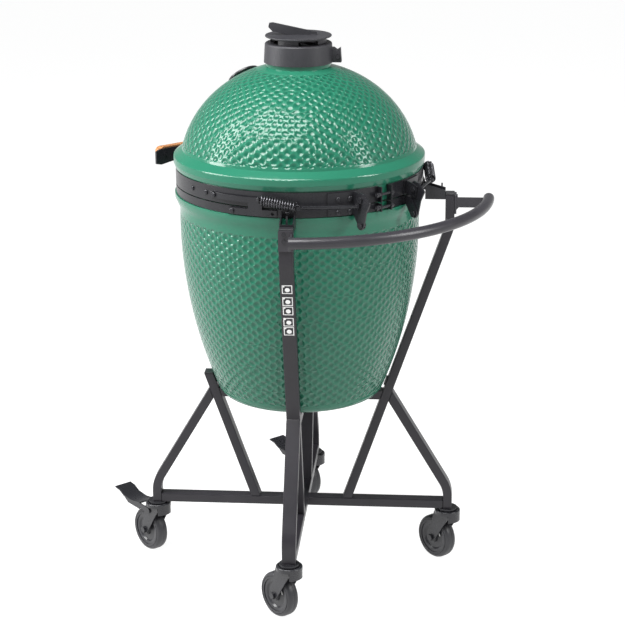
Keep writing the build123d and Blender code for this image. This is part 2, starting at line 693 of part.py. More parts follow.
# ================================================================ side arms, springs and rods
anchor_r = BAND_OUT + SPRING_FROM_OUT
anchor_z = UPPER_MID + 4.6
with BuildPart() as side_arms:
    for left in (False, True):
        spans = [(6.5, 33.5, UPPER_MID - 7, UPPER_MID + 5), (27, 33.5, LOWER_MID, UPPER_MID + 5)]
        spans.append((17, 40, LOWER_MID - 7, LOWER_MID + 7))
        for start, stop, low, high in spans:
            first = 180 - stop if left else start
            with BuildSketch(Plane.XY.offset(low)):
                add(ring_sector(arm_in, arm_out, first, first + stop - start))
            extrude(amount=high - low)
    for angle in mirrored([19.1, 38.2]):
        with BuildSketch(facing_plane(angle, BAND_OUT + seat, LOWER_MID)):
            Circle(HEAD_R)
        extrude(amount=arm_in - BAND_OUT + 1)
        with BuildSketch(facing_plane(angle, arm_in, LOWER_MID)):
            Circle(BOLT_R + BOLT_CLEAR)
        extrude(amount=10, both=True, mode=Mode.SUBTRACT)
    for angle in mirrored([SPRING_FROM]):
        with BuildSketch(ray_plane(angle)):
            with BuildLine():
                Polyline(
                    (arm_in + 1, UPPER_MID - 7),
                    (arm_in + 1, UPPER_MID + 5),
                    (anchor_r - 4, anchor_z + 7),
                    (anchor_r + 7, anchor_z + 7),
                    (anchor_r + 7, anchor_z - 7),
                    close=True,
                )
            make_face()
            with Locations((anchor_r, anchor_z)):
                Circle(EYE_BORE_R, mode=Mode.SUBTRACT)
        extrude(amount=SIDE_ARM_T / 2, both=True)
    for angle in mirrored([stud_angle]):
        notch = 2 * (BOLT_R + 0.5)
        with BuildSketch(facing_plane(angle, arm_in, UPPER_MID)):
            Circle(notch / 2)
            with Locations((0, notch)):
                Rectangle(notch, 2 * notch)
        extrude(amount=2 * SIDE_ARM_T, both=True, mode=Mode.SUBTRACT)
save(side_arms.part, "side_arms")


def on_ring(angle, radius, z):
    """A point at an angle and radius about the egg's axis."""
    a = radians(angle)
    return Vector(radius * cos(a), radius * sin(a), z)


spring_start = on_ring(SPRING_FROM, anchor_r, anchor_z)
spring_stop = on_ring(SPRING_TO, BAND_OUT + SPRING_TO_OUT, anchor_z - SPRING_DROP)
rod_stop = Vector(HINGE_X + PLATE_T / 2 + PLATE_GAP, HINGE_Y - 5, HINGE_Z - 13.5)
hook = 7.0


def mirror_point(point, side):
    """The same point on one side of the YZ plane."""
    return Vector(side * point.X, point.Y, point.Z)


for side, label in ((1, "right_spring"), (-1, "left_spring")):
    start = mirror_point(spring_start, side)
    run = mirror_point(spring_stop, side) - start
    coil_start = start + run.normalized() * hook
    coil_long = run.length - 2 * hook
    with BuildPart() as spring:
        coil_plane = Plane(origin=coil_start, z_dir=run)
        with BuildSketch(coil_plane):
            Circle(SPRING_R)
            Circle(SPRING_R - 2 * SPRING_WIRE_R, mode=Mode.SUBTRACT)
        extrude(amount=coil_long)
    save(spring.part, label)

for side, label in ((1, "right_spring_rod"), (-1, "left_spring_rod")):
    front = mirror_point(spring_stop, side)
    back = mirror_point(rod_stop, side)
    with BuildPart() as rod:
        add(cylinder_between(tuple(back + Vector(side * EYE_BORE_R, 0, 0)), tuple(front), ROD_R))
        with BuildSketch(side_plane(back.X)):
            with Locations((back.Y, back.Z)):
                Circle(EYE_R)
        extrude(amount=side * 2 * EYE_BORE_R)
        with BuildSketch(Plane(origin=front, z_dir=(0, 0, 1)).offset(-ROD_R)):
            Circle(EYE_R)
        extrude(amount=2 * ROD_R)
        with BuildSketch(Plane(origin=front, z_dir=(0, 0, 1)).offset(-ROD_R)):
            Circle(EYE_BORE_R)
        extrude(amount=2 * ROD_R, mode=Mode.SUBTRACT)
    save(rod.part, label)

# ================================================================ chimney cap
collar_z = PARTING_Z + COLLAR_LOW
collar_top = collar_z + COLLAR_H
neck_z = PARTING_Z + NECK_TOP
vent_top = collar_top + VENT_H
clamp_plane = ray_plane(135)
with BuildPart() as damper_collar:
    with BuildSketch(Plane.XZ):
        with BuildLine():
            Polyline(
                (NECK_R + COLLAR_CLEAR, collar_z),
                (COLLAR_R, collar_z),
                (COLLAR_TOP_R, collar_top),
                (VENT_R - VENT_T, collar_top),
                (VENT_R - VENT_T, collar_top - 6),
                (NECK_R - 4, collar_top - 6),
                (NECK_R - 4, neck_z + 1),
                (NECK_R + COLLAR_CLEAR, neck_z + 1),
                close=True,
            )
        shell = make_face()
        fillet(shell.vertices().sort_by_distance((COLLAR_TOP_R, collar_top))[0], 4)
        fillet(shell.vertices().sort_by_distance((COLLAR_R, collar_z))[0], 2)
    revolve(axis=Axis.Z)
    with BuildSketch(Plane.XY.offset(collar_top - 0.5)):
        Circle(VENT_R)
        Circle(VENT_R - VENT_T, mode=Mode.SUBTRACT)
    extrude(amount=VENT_H)
    with BuildSketch(clamp_plane):
        with BuildLine():
            Polyline(
                (COLLAR_TOP_R - 1, collar_z),
                (COLLAR_R + 18, collar_z),
                (COLLAR_R + 16, collar_z + 31),
                (COLLAR_R + 9, collar_z + 26),
                (COLLAR_R + 2, collar_z + 31),
                (COLLAR_TOP_R - 1, collar_z + 31),
                close=True,
            )
        make_face()
    extrude(amount=10, both=True)
    for turn in range(4):
        first = FIN_ANGLE + 90 * turn
        with BuildSketch(Plane.XY.offset(collar_top)):
            add(ring_sector(VENT_R - VENT_T - 1, VENT_R + 1, first, first + VENT_ARC))
        extrude(amount=VENT_H - 3, mode=Mode.SUBTRACT)
    with BuildSketch(Plane.XY.offset(collar_top - 6)):
        for turn in (0, 90):
            Rectangle(2 * VENT_R - 4, 9, rotation=turn)
        Circle(10)
        Circle(SPINDLE_R + PIN_CLEAR, mode=Mode.SUBTRACT)
    extrude(amount=5)
    with BuildSketch(Plane.XY.offset(collar_z - 1)):
        with Locations(Location((0, 0, 0), (0, 0, 135))):
            with Locations((COLLAR_R + 5, 0)):
                Rectangle(36, 3)
    extrude(amount=34, mode=Mode.SUBTRACT)
    with BuildSketch(clamp_plane.offset(-12)):
        with Locations((COLLAR_R + 10, collar_z + 13)):
            Circle(BOLT_R + BOLT_CLEAR)
    extrude(amount=24, mode=Mode.SUBTRACT)
save(damper_collar.part, "damper_collar")

with BuildPart() as damper_clamp_screw:
    with BuildSketch(clamp_plane.offset(-10)):
        with Locations((COLLAR_R + 10, collar_z + 13)):
            Circle(BOLT_R)
    extrude(amount=23)
    for low in (-14, 10):
        with BuildSketch(clamp_plane.offset(low)):
            with Locations((COLLAR_R + 10, collar_z + 13)):
                RegularPolygon(HEAD_R, 6)
        extrude(amount=4)
save(damper_clamp_screw.part, "damper_clamp_screw")

with BuildPart() as damper_cap:
    with BuildSketch(Plane.XY.offset(vent_top + VENT_CLEAR)):
        Circle(CAP_R)
    extrude(amount=CAP_T)
    fillet(damper_cap.edges().filter_by(GeomType.CIRCLE), 1.2)
    with BuildSketch(Plane.XY.offset(collar_top + VENT_CLEAR)):
        Circle(VENT_R + VENT_CLEAR + VENT_T)
        Circle(VENT_R + VENT_CLEAR, mode=Mode.SUBTRACT)
    extrude(amount=VENT_H)
    for turn in range(4):
        first = FIN_ANGLE + 90 * turn
        with BuildSketch(Plane.XY.offset(collar_top)):
            add(ring_sector(VENT_R - 1, VENT_R + 6, first, first + VENT_ARC))
        extrude(amount=VENT_H - 3, mode=Mode.SUBTRACT)
    with BuildSketch(Plane.XY.offset(collar_top - 12)):
        Circle(SPINDLE_R)
    extrude(amount=VENT_H + 12 + VENT_CLEAR + 1)
    with BuildSketch(Plane.XY.offset(collar_top - 0.5)):
        Circle(8)
    extrude(amount=VENT_H + 1)
    fin_plane = ray_plane(FIN_ANGLE)
    with BuildSketch(fin_plane):
        with BuildLine():
            disc_top = vent_top + VENT_CLEAR + CAP_T
            Polyline(
                (-FIN_NOSE, disc_top - 1),
                (-FIN_NOSE, disc_top + 5),
                (FIN_BACK - 8, disc_top + FIN_H),
                (FIN_BACK, disc_top + FIN_H - 1),
                (FIN_BACK + 2, disc_top + FIN_H - 9),
                (FIN_BACK - 6, disc_top + 8),
                (20, disc_top - 1),
                close=True,
            )
        fin = make_face()
        fillet(fin.vertices().group_by(Axis.Y)[-1], 2)
    extrude(amount=FIN_T / 2, both=True)
save(damper_cap.part, "damper_cap")

# ================================================================ handle
grip_z = PARTING_Z + GRIP_MID
backing_y = -(HANDLE_REACH - GRIP_DEEP - BACKING_T / 2)
grip_screws = mirrored_x((GRIP_SCREW_NEAR, GRIP_SCREW_FAR))
with BuildPart() as handle_bracket:
    backing_plane = Plane(origin=(0, backing_y, grip_z), x_dir=(1, 0, 0), z_dir=(0, -1, 0))
    with BuildSketch(backing_plane):
        with BuildLine():
            half = BACKING_LONG / 2
            low = -BACKING_H / 2 - 3
            top = Polyline(
                (-half, low + 3),
                (-half, 10),
                (-half + 12, 15),
                (half - 12, 15),
                (half, 10),
                (half, low + 3),
            )
            curve = ThreePointArc((half - 14, low), (0, low + 9), (-half + 14, low))
            Line(top @ 1, curve @ 0)
            Line(curve @ 1, top @ 0)
        make_face()
    extrude(amount=BACKING_T / 2, both=True)
    for side in SIDES:
        with BuildSketch(side_plane(side * HANDLE_ARM_X)):
            root = sqrt((BAND_OUT + FLANGE_T / 2) ** 2 - HANDLE_ARM_X**2)
            with BuildLine():
                Polyline(
                    (-root, UPPER_LOW + 1),
                    (-root, UPPER_HIGH - 2),
                    (backing_y, grip_z + 13),
                    (backing_y, grip_z - 12),
                    close=True,
                )
            make_face()
        extrude(amount=HANDLE_ARM_T / 2, both=True)
    for side in SIDES:
        reach = degrees(acos((HANDLE_ARM_X + 8) / BAND_OUT))
        near = degrees(acos((HANDLE_ARM_X - 32) / BAND_OUT))
        first = -near if side > 0 else 180 + reach
        with BuildSketch(Plane.XY.offset(UPPER_LOW + 1)):
            add(ring_sector(BAND_OUT, BAND_OUT + FLANGE_T, first, first + near - reach))
        extrude(amount=UPPER_HIGH - UPPER_LOW - 3)
    for angle in handle_bolts:
        with BuildSketch(facing_plane(angle, BAND_OUT, UPPER_MID)):
            Circle(BOLT_R + BOLT_CLEAR)
        extrude(amount=2 * FLANGE_T, both=True, mode=Mode.SUBTRACT)
    for x in grip_screws:
        with BuildSketch(backing_plane.offset(-BACKING_T)):
            with Locations((x, 2)):
                Circle(BOLT_R + BOLT_CLEAR)
        extrude(amount=2 * BACKING_T, mode=Mode.SUBTRACT)
save(handle_bracket.part, "handle_bracket")

with BuildPart() as handle_grip:
    with BuildSketch(backing_plane.offset(BACKING_T / 2)):
        with Locations((0, 2)):
            RectangleRounded(GRIP_LONG, GRIP_H, 12)
    extrude(amount=GRIP_DEEP)
    fillet(handle_grip.faces().sort_by(Axis.Y)[0].edges(), 9)
    for x in grip_screws:
        with BuildSketch(backing_plane.offset(BACKING_T / 2)):
            with Locations((x, 2)):
                Circle(BOLT_R + BOLT_CLEAR)
        extrude(amount=14, mode=Mode.SUBTRACT)
save(handle_grip.part, "handle_grip")

with BuildPart() as handle_screws:
    for x in grip_screws:
        with BuildSketch(backing_plane.offset(-BACKING_T / 2)):
            with Locations((x, 2)):
                Circle(BOLT_R)
        extrude(amount=BACKING_T + 13)
        with BuildSketch(backing_plane.offset(-BACKING_T / 2 - 2.5)):
            with Locations((x, 2)):
                Circle(HEAD_R - 0.5)
        extrude(amount=2.5)
save(handle_screws.part, "handle_screws")

# ================================================================ thermometer
with BuildPart() as thermometer_case:
    with BuildSketch(Plane.XZ):
        with BuildLine():
            Polyline(
                (STEM_R, 0.3),
                (THERMO_BACK_R, 0.3),
                (THERMO_FACE_R, THERMO_DEEP / 2),
                (THERMO_R, THERMO_DEEP - 4.3),
                (THERMO_R, THERMO_DEEP - 0.8),
                (THERMO_R - 2, THERMO_DEEP),
                (THERMO_FACE_R + 1, THERMO_DEEP),
                (THERMO_FACE_R, THERMO_DEEP - 1),
                (THERMO_FACE_R, DIAL_Z),
                (STEM_R, DIAL_Z),
                close=True,
            )
        make_face()
    revolve(axis=Axis.Z)
save(thermo_plane.location * thermometer_case.part, "thermometer_case")

with BuildPart() as thermometer_dial:
    with BuildSketch(thermo_plane.offset(DIAL_Z)):
        Circle(THERMO_FACE_R - 0.1)
        Circle(NEEDLE_PIN_R + 0.3, mode=Mode.SUBTRACT)
    extrude(amount=DIAL_T)
save(thermometer_dial.part, "thermometer_dial")

with BuildPart() as thermometer_glass:
    with BuildSketch(thermo_plane.offset(THERMO_DEEP - 1 - GLASS_T)):
        Circle(THERMO_FACE_R - 0.1)
    extrude(amount=GLASS_T)
save(thermometer_glass.part, "thermometer_glass")

with BuildPart() as thermometer_stem:
    with BuildSketch(thermo_plane.offset(-STEM_LONG)):
        Circle(STEM_R - 0.1)
    extrude(amount=STEM_LONG + DIAL_Z)
    with BuildSketch(thermo_plane.offset(DIAL_Z)):
        Circle(NEEDLE_PIN_R)
    extrude(amount=DIAL_T + 2 * NEEDLE_GAP + NEEDLE_T)
save(thermometer_stem.part, "thermometer_stem")

with BuildPart() as thermometer_needle:
    with BuildSketch(thermo_plane.offset(DIAL_Z + DIAL_T + NEEDLE_GAP)):
        Circle(3.4)
        with BuildLine():
            Polyline((-2, 0), (0, NEEDLE_LONG), (2, 0), (1.5, -7), (-1.5, -7), close=True)
        make_face()
        Circle(NEEDLE_PIN_R + PIN_CLEAR, mode=Mode.SUBTRACT)
    extrude(amount=NEEDLE_T)
save(thermometer_needle.part, "thermometer_needle")

# ================================================================ draft door
rail = 6.0
slot = DOOR_T + 2 * SLIDE_CLEAR
frame_t = 2 * (slot + DOOR_T) + DOOR_T
with BuildPart() as draft_frame:
    with BuildSketch(door_plane):
        RectangleRounded(DOOR_W, DOOR_H, 6)
        Rectangle(DOOR_HOLE_W, DOOR_HOLE_H, mode=Mode.SUBTRACT)
    extrude(amount=DOOR_T)
    for side in SIDES:
        y = side * (DOOR_HOLE_H / 2 + 3 + rail / 2)
        with BuildSketch(door_plane):
            with Locations((0, y + side * rail / 2)):
                Rectangle(DOOR_W, 2)
        extrude(amount=frame_t)
        for layer in (1, 2):
            with BuildSketch(door_plane.offset(layer * (slot + DOOR_T))):
                with Locations((0, y)):
                    Rectangle(DOOR_W, rail)
            extrude(amount=DOOR_T)
    for x in SIDES:
        for y in SIDES:
            with BuildSketch(door_plane):
                with Locations((x * (DOOR_W / 2 - 7), y * (DOOR_H / 2 - 7))):
                    Circle(2.2)
            extrude(amount=DOOR_T, mode=Mode.SUBTRACT)
save(draft_frame.part, "draft_frame")

panel_h = DOOR_HOLE_H + 6 + rail
with BuildPart() as draft_screen:
    with BuildSketch(door_plane.offset(DOOR_T + SLIDE_CLEAR)):
        Rectangle(DOOR_PANEL_W, panel_h)
        with GridLocations(7, 7, 12, 7):
            Rectangle(5.2, 5.2, mode=Mode.SUBTRACT)
    extrude(amount=DOOR_T)
save(draft_screen.part, "draft_screen")

with BuildPart() as draft_door:
    with BuildSketch(door_plane.offset(2 * DOOR_T + slot + SLIDE_CLEAR)):
        Rectangle(DOOR_PANEL_W, panel_h)
    extrude(amount=DOOR_T)
    with BuildSketch(door_plane.offset(3 * DOOR_T + slot)):
        with Locations((0, 0)):
            Circle(7)
    extrude(amount=16)
save(draft_door.part, "draft_door")


# ================================================================ stand
def leg_sign(angle):
    """Which way the hinge lies from a leg's plane, along that plane's normal."""
    return -1 if angle < 90 else 1


outer_r = CASTER_RING_R
bend_z = APEX_Z - (outer_r - LEG_START_R - LEAN * (APEX_Z - CROSS_TOP)) / SPREAD
upright_z = CROSS_TOP + (UPRIGHT_R - LEG_START_R) / LEAN


def inner_tube(angle, top, depth, width):
    """A leg's long inner tube: leaning outwards, and vertical above its bend if it reaches that high."""
    with BuildPart() as tube:
        with BuildSketch(ray_plane(angle)):
            with BuildLine():
                foot = (LEG_START_R - LEG_TRIM * LEAN, CROSS_TOP - LEG_TRIM)
                if top > upright_z:
                    FilletPolyline(foot, (UPRIGHT_R, upright_z), (UPRIGHT_R, top), radius=LEG_BEND)
                else:
                    Line(foot, (LEG_START_R + LEAN * (top + LEG_TRIM - CROSS_TOP), top + LEG_TRIM))
            trace(line_width=depth)
        extrude(amount=width / 2, both=True)
        split(bisect_by=Plane.XY.offset(CROSS_TOP), keep=Keep.TOP)
        split(bisect_by=Plane.XY.offset(top), keep=Keep.BOTTOM)
    return tube.part


def outer_tube(angle, depth, width):
    """A leg's outer tube: vertical over its caster, then leaning in to meet the inner tube."""
    apex_r = LEG_START_R + LEAN * (APEX_Z - CROSS_TOP)
    with BuildPart() as tube:
        with BuildSketch(ray_plane(angle)):
            with BuildLine():
                FilletPolyline((outer_r, STEM_Z), (outer_r, bend_z), (apex_r, APEX_Z), radius=OUTER_BEND)
            trace(line_width=depth)
        extrude(amount=width / 2, both=True)
    return tube.part


def tube_top(angle):
    """Height of a leg's inner tube."""
    return UPRIGHT_TOP if angle in REAR_LEGS else STAY_TOP


BORE_D = TUBE_D - 2 * TUBE_WALL
BORE_W = TUBE_W - 2 * TUBE_WALL
cores = {angle: inner_tube(angle, tube_top(angle), TUBE_D, TUBE_W) for angle in LEG_ANGLES}
screw_zs = [UPRIGHT_TOP - PAD_H / 2 + 7 + shift for shift in (-SCREW_PITCH / 2, SCREW_PITCH / 2)]


def screw_places(angle, radius):
    """The two planes of a leg's push bar screws."""
    return [facing_plane(angle, radius, z) for z in screw_zs]


with BuildPart() as rear_uprights:
    for angle in REAR_LEGS:
        add(cores[angle])
        add(inner_tube(angle, tube_top(angle), BORE_D, BORE_W), mode=Mode.SUBTRACT)
        for plane in screw_places(angle, UPRIGHT_R):
            with BuildSketch(plane):
                with Locations((leg_sign(angle) * -SCREW_SHIFT, 0)):
                    Circle(BOLT_R - 0.3)
            extrude(amount=TUBE_D, mode=Mode.SUBTRACT)
save(rear_uprights.part, "rear_uprights")

with BuildPart() as front_stays:
    for angle in LEG_ANGLES[2:]:
        add(cores[angle])
        add(inner_tube(angle, tube_top(angle), BORE_D, BORE_W), mode=Mode.SUBTRACT)
save(front_stays.part, "front_stays")

with BuildPart() as outer_legs:
    for angle in LEG_ANGLES:
        add(outer_tube(angle, TUBE_D, TUBE_W))
        add(outer_tube(angle, BORE_D, BORE_W), mode=Mode.SUBTRACT)
    for angle in LEG_ANGLES:
        add(cores[angle], mode=Mode.SUBTRACT)
save(outer_legs.part, "outer_legs")


def cross(low, half_long):
    """Two crossing tubes along the diagonals, hollow, resting at one height."""
    with BuildPart() as pair:
        for turn in (45, 135):
            with BuildSketch(Plane.XY.offset(low)):
                Rectangle(2 * half_long, TUBE_W, rotation=turn)
            extrude(amount=TUBE_D)
        for turn in (45, 135):
            with BuildSketch(Plane.XY.offset(low + TUBE_WALL)):
                Rectangle(2 * half_long, BORE_W, rotation=turn)
            extrude(amount=BORE_D, mode=Mode.SUBTRACT)
    return pair.part


save(cross(STEM_Z, outer_r - TUBE_D / 2), "lower_cross")

with BuildPart() as egg_cross:
    add(cross(EGG_CROSS_TOP - TUBE_D, LEG_START_R + LEAN * (EGG_CROSS_TOP - CROSS_TOP)))
    for angle in LEG_ANGLES:
        add(cores[angle], mode=Mode.SUBTRACT)
save(egg_cross.part, "egg_cross")

with BuildPart() as tube_plugs:
    for angle in LEG_ANGLES:
        top = tube_top(angle)
        radius = UPRIGHT_R if angle in REAR_LEGS else LEG_START_R + LEAN * (top - CROSS_TOP)
        with BuildSketch(ray_plane(angle, radius, top)):
            Rectangle(TUBE_D - 2 * PLUG_CLEAR, PLUG_T, align=(Align.CENTER, Align.MIN))
        extrude(amount=TUBE_W / 2 - PLUG_CLEAR, both=True)
    fillet(tube_plugs.faces().filter_by(Axis.Z).group_by(Axis.Z)[-1].edges(), 1)
save(tube_plugs.part, "tube_plugs")

bumper_low = EGG_CROSS_TOP + BUMPER_UP
with BuildPart() as bumper_pads:
    for angle in LEG_ANGLES:
        with BuildSketch(ray_plane(angle)):
            low, high = [
                (LEG_START_R + LEAN * (z - CROSS_TOP) - TUBE_D / 2 / cos(atan(LEAN)), z)
                for z in (bumper_low, bumper_low + BUMPER_H)
            ]
            Polygon(low, high, (high[0] - BUMPER_T, high[1]), (low[0] - BUMPER_T, low[1]), align=None)
        extrude(amount=TUBE_W / 4, both=True)
save(bumper_pads.part, "bumper_pads")

clip_low = UPRIGHT_TOP - 9
with BuildPart() as leg_clips:
    for angle in REAR_LEGS:
        start = CLIP_FROM if angle < 90 else 180 - CLIP_TO
        with BuildSketch(Plane.XY.offset(LOWER_LOW + 0.5)):
            add(ring_sector(BAND_OUT, BAND_OUT + CLIP_T, start, start + CLIP_TO - CLIP_FROM))
        extrude(amount=LOWER_HIGH - LOWER_LOW - 1)
        for shift in (-1, 1):
            with BuildSketch(ray_plane(angle).offset(shift * (TUBE_W - CLIP_T) / 2)):
                with BuildLine():
                    Polyline(
                        (BAND_OUT + 1, LOWER_LOW + 2),
                        (BAND_OUT + 1, LOWER_HIGH - 2),
                        (UPRIGHT_R - TUBE_D / 2, UPRIGHT_TOP + 10),
                        (UPRIGHT_R - TUBE_D / 2, clip_low),
                        (BEAD_R + 3, clip_low),
                        (BEAD_R + 3, LOWER_LOW + 2),
                        close=True,
                    )
                make_face()
            extrude(amount=CLIP_T / 2, both=True)
        with BuildSketch(ray_plane(angle)):
            with BuildLine():
                Polyline((BEAD_R + 3, clip_low), (UPRIGHT_R - TUBE_D / 2, clip_low))
            trace(line_width=CLIP_T)
            with Locations((UPRIGHT_R - TUBE_D / 2 - CLIP_T / 2, clip_low + 8)):
                Rectangle(CLIP_T, 16)
            with Locations((UPRIGHT_R - TUBE_D / 2 - 8, clip_low + 16)):
                Rectangle(3.6, 32)
        extrude(amount=1.8, both=True)
        with BuildSketch(ray_plane(angle)):
            with BuildLine():
                Polyline((BEAD_R + 3, clip_low), (UPRIGHT_R - TUBE_D / 2, clip_low))
            trace(line_width=CLIP_T)
            with Locations((UPRIGHT_R - TUBE_D / 2 - CLIP_T / 2, clip_low + 8)):
                Rectangle(CLIP_T, 16)
        extrude(amount=TUBE_W / 2, both=True)
    for angle in mirrored([44.6]):
        with BuildSketch(facing_plane(angle, BAND_OUT, LOWER_MID)):
            Circle(BOLT_R + BOLT_CLEAR)
        extrude(amount=6, both=True, mode=Mode.SUBTRACT)
save(leg_clips.part, "leg_clips")

pad_r = UPRIGHT_R + TUBE_D / 2
bar_turn = 90 - 2 * BAR_INSET
with BuildPart() as push_bar:
    for angle in REAR_LEGS:
        with BuildSketch(facing_plane(angle, pad_r, UPRIGHT_TOP - PAD_H / 2)):
            RectangleRounded(PAD_W, PAD_H, 2)
        extrude(amount=PAD_T)
        with BuildSketch(ray_plane(angle).offset(leg_sign(angle) * ARM_SHIFT)):
            with BuildLine():
                Polyline(
                    (pad_r + 1, BAR_Z + 1),
                    (BAR_R - 6, BAR_Z + 1),
                    (BAR_R - 6, BAR_Z - BAR_TUBE_R + 3),
                    (BAR_R - 15, BAR_Z + 1 - ARM_H),
                    (pad_r + 9, BAR_Z + 1 - ARM_H),
                    (pad_r + 1, BAR_Z - 8 - ARM_H),
                    close=True,
                )
            make_face()
        extrude(amount=ARM_T / 2, both=True)
    with BuildSketch(ray_plane(LEG_ANGLES[0] + BAR_INSET)):
        with Locations((BAR_R, BAR_Z)):
            Circle(BAR_TUBE_R)
    revolve(axis=Axis.Z, revolution_arc=bar_turn)
    with BuildSketch(ray_plane(LEG_ANGLES[0] + BAR_INSET + 0.3)):
        with Locations((BAR_R, BAR_Z)):
            Circle(BAR_TUBE_R - TUBE_WALL)
    revolve(axis=Axis.Z, revolution_arc=bar_turn - 0.6, mode=Mode.SUBTRACT)
    for angle in REAR_LEGS:
        for plane in screw_places(angle, pad_r):
            with BuildSketch(plane):
                with Locations((leg_sign(angle) * -SCREW_SHIFT, 0)):
                    Circle(BOLT_R - 0.3)
            extrude(amount=PAD_T, mode=Mode.SUBTRACT)
save(push_bar.part, "push_bar")

with BuildPart() as push_bar_screws:
    for angle in REAR_LEGS:
        for plane in screw_places(angle, pad_r + PAD_T):
            with BuildSketch(plane):
                with Locations((leg_sign(angle) * -SCREW_SHIFT, 0)):
                    Circle(4.4)
            extrude(amount=2.4)
            with BuildSketch(plane):
                with Locations((leg_sign(angle) * -SCREW_SHIFT, 0)):
                    Circle(BOLT_R - 0.6)
            extrude(amount=-PAD_T - 8)
save(push_bar_screws.part, "push_bar_screws")

# ================================================================ casters
fork_top = STEM_Z - RACE_T - SWIVEL_GAP
fork_low = fork_top - FORK_H
skirt_in = WHEEL_W / 2 + FORK_GAP
skirt_out = skirt_in + FORK_T
pivot_y = -14.0
pivot_z = 104.0
turns = {angle: radians(angle) for angle in LEG_ANGLES}
centres = {angle: (CASTER_RING_R * cos(turn), CASTER_RING_R * sin(turn)) for angle, turn in turns.items()}
corner = {45.0: "rear_right", 135.0: "rear_left", 225.0: "front_left", 315.0: "front_right"}

with BuildPart() as caster_stems:
    for x, y in centres.values():
        with BuildSketch(Plane((x, y, STEM_Z - RACE_T))):
            Circle(RACE_R)
        extrude(amount=RACE_T)
        with BuildSketch(Plane((x, y, fork_low - 5))):
            Circle(STEM_R_LOW)
        extrude(amount=STEM_Z - RACE_T - fork_low + 5)
        with BuildSketch(Plane((x, y, fork_low - SWIVEL_GAP))):
            Circle(9)
        extrude(amount=-4)
save(caster_stems.part, "caster_stems")


def caster_fork(x, y, braked):
    """A pressed swivel fork with its axle bolt."""
    with BuildPart() as fork:
        with BuildSketch(Plane((x, y, fork_low))):
            Circle(FORK_R)
        extrude(amount=FORK_H)
        fillet(fork.faces().sort_by(Axis.Z)[-1].edges(), 2.5)
        with BuildSketch(Plane((x, y, fork_top - 2.5))):
            Circle(RACE_R + 2)
        extrude(amount=2.5, mode=Mode.SUBTRACT)
        for side in SIDES:
            with BuildSketch(side_plane(x + side * (skirt_in + FORK_T / 2))):
                with Locations((y - TRAIL, WHEEL_R)):
                    Circle(11)
                with Locations((y - 2, fork_low - 3)):
                    Rectangle(44, 8)
                make_hull()
            extrude(amount=FORK_T / 2, both=True)
        with BuildSketch(Plane((x, y, fork_low - 17))):
            add(ring_sector(FORK_R - FORK_T, FORK_R, 50, 130))
        extrude(amount=18)
        with BuildSketch(Plane((x, y, fork_low - 20))):
            Circle(STEM_R_LOW + PIN_CLEAR)
        extrude(amount=40, mode=Mode.SUBTRACT)
        holes = [(y - TRAIL, WHEEL_R, AXLE_R)]
        if braked:
            holes.append((y + pivot_y, pivot_z, BOLT_R))
        for hole_y, hole_z, radius in holes:
            with BuildSketch(side_plane(x - 2 * skirt_out)):
                with Locations((hole_y, hole_z)):
                    Circle(radius + PIN_CLEAR)
            extrude(amount=4 * skirt_out, mode=Mode.SUBTRACT)
        with BuildSketch(side_plane(x - skirt_out - 4)):
            with Locations((y - TRAIL, WHEEL_R)):
                Circle(AXLE_R)
        extrude(amount=2 * skirt_out + 8)
        for start in (-skirt_out - 5.3, skirt_out + 0.3):
            with BuildSketch(side_plane(x + start)):
                with Locations((y - TRAIL, WHEEL_R)):
                    RegularPolygon(7.5, 6)
            extrude(amount=5)
    return fork.part


def caster_hub(x, y):
    """A moulded wheel hub with a boss, a web and a rim."""
    with BuildPart() as hub:
        with BuildSketch(Plane((x, y - TRAIL, WHEEL_R), x_dir=(0, 1, 0), z_dir=(0, 0, 1))):
            with BuildLine():
                Polyline(
                    (AXLE_R + PIN_CLEAR, -skirt_in + 0.6),
                    (AXLE_R + PIN_CLEAR, skirt_in - 0.6),
                    (12, skirt_in - 0.6),
                    (14, WHEEL_W / 2 - 2),
                    (HUB_R, WHEEL_W / 2 - 2),
                    (HUB_R, -WHEEL_W / 2 + 2),
                    (14, -WHEEL_W / 2 + 2),
                    (12, -skirt_in + 0.6),
                    close=True,
                )
            make_face()
        revolve(axis=Axis((x, y - TRAIL, WHEEL_R), (1, 0, 0)))
    return hub.part


def caster_tyre(x, y):
    """A tyre with rounded shoulders."""
    with BuildPart() as tyre:
        with BuildSketch(side_plane(x - WHEEL_W / 2)):
            with Locations((y - TRAIL, WHEEL_R)):
                Circle(WHEEL_R)
                Circle(HUB_R + 0.05, mode=Mode.SUBTRACT)
        extrude(amount=WHEEL_W)
        fillet(tyre.edges().filter_by(GeomType.CIRCLE).group_by(SortBy.RADIUS)[-1], 8)
    return tyre.part


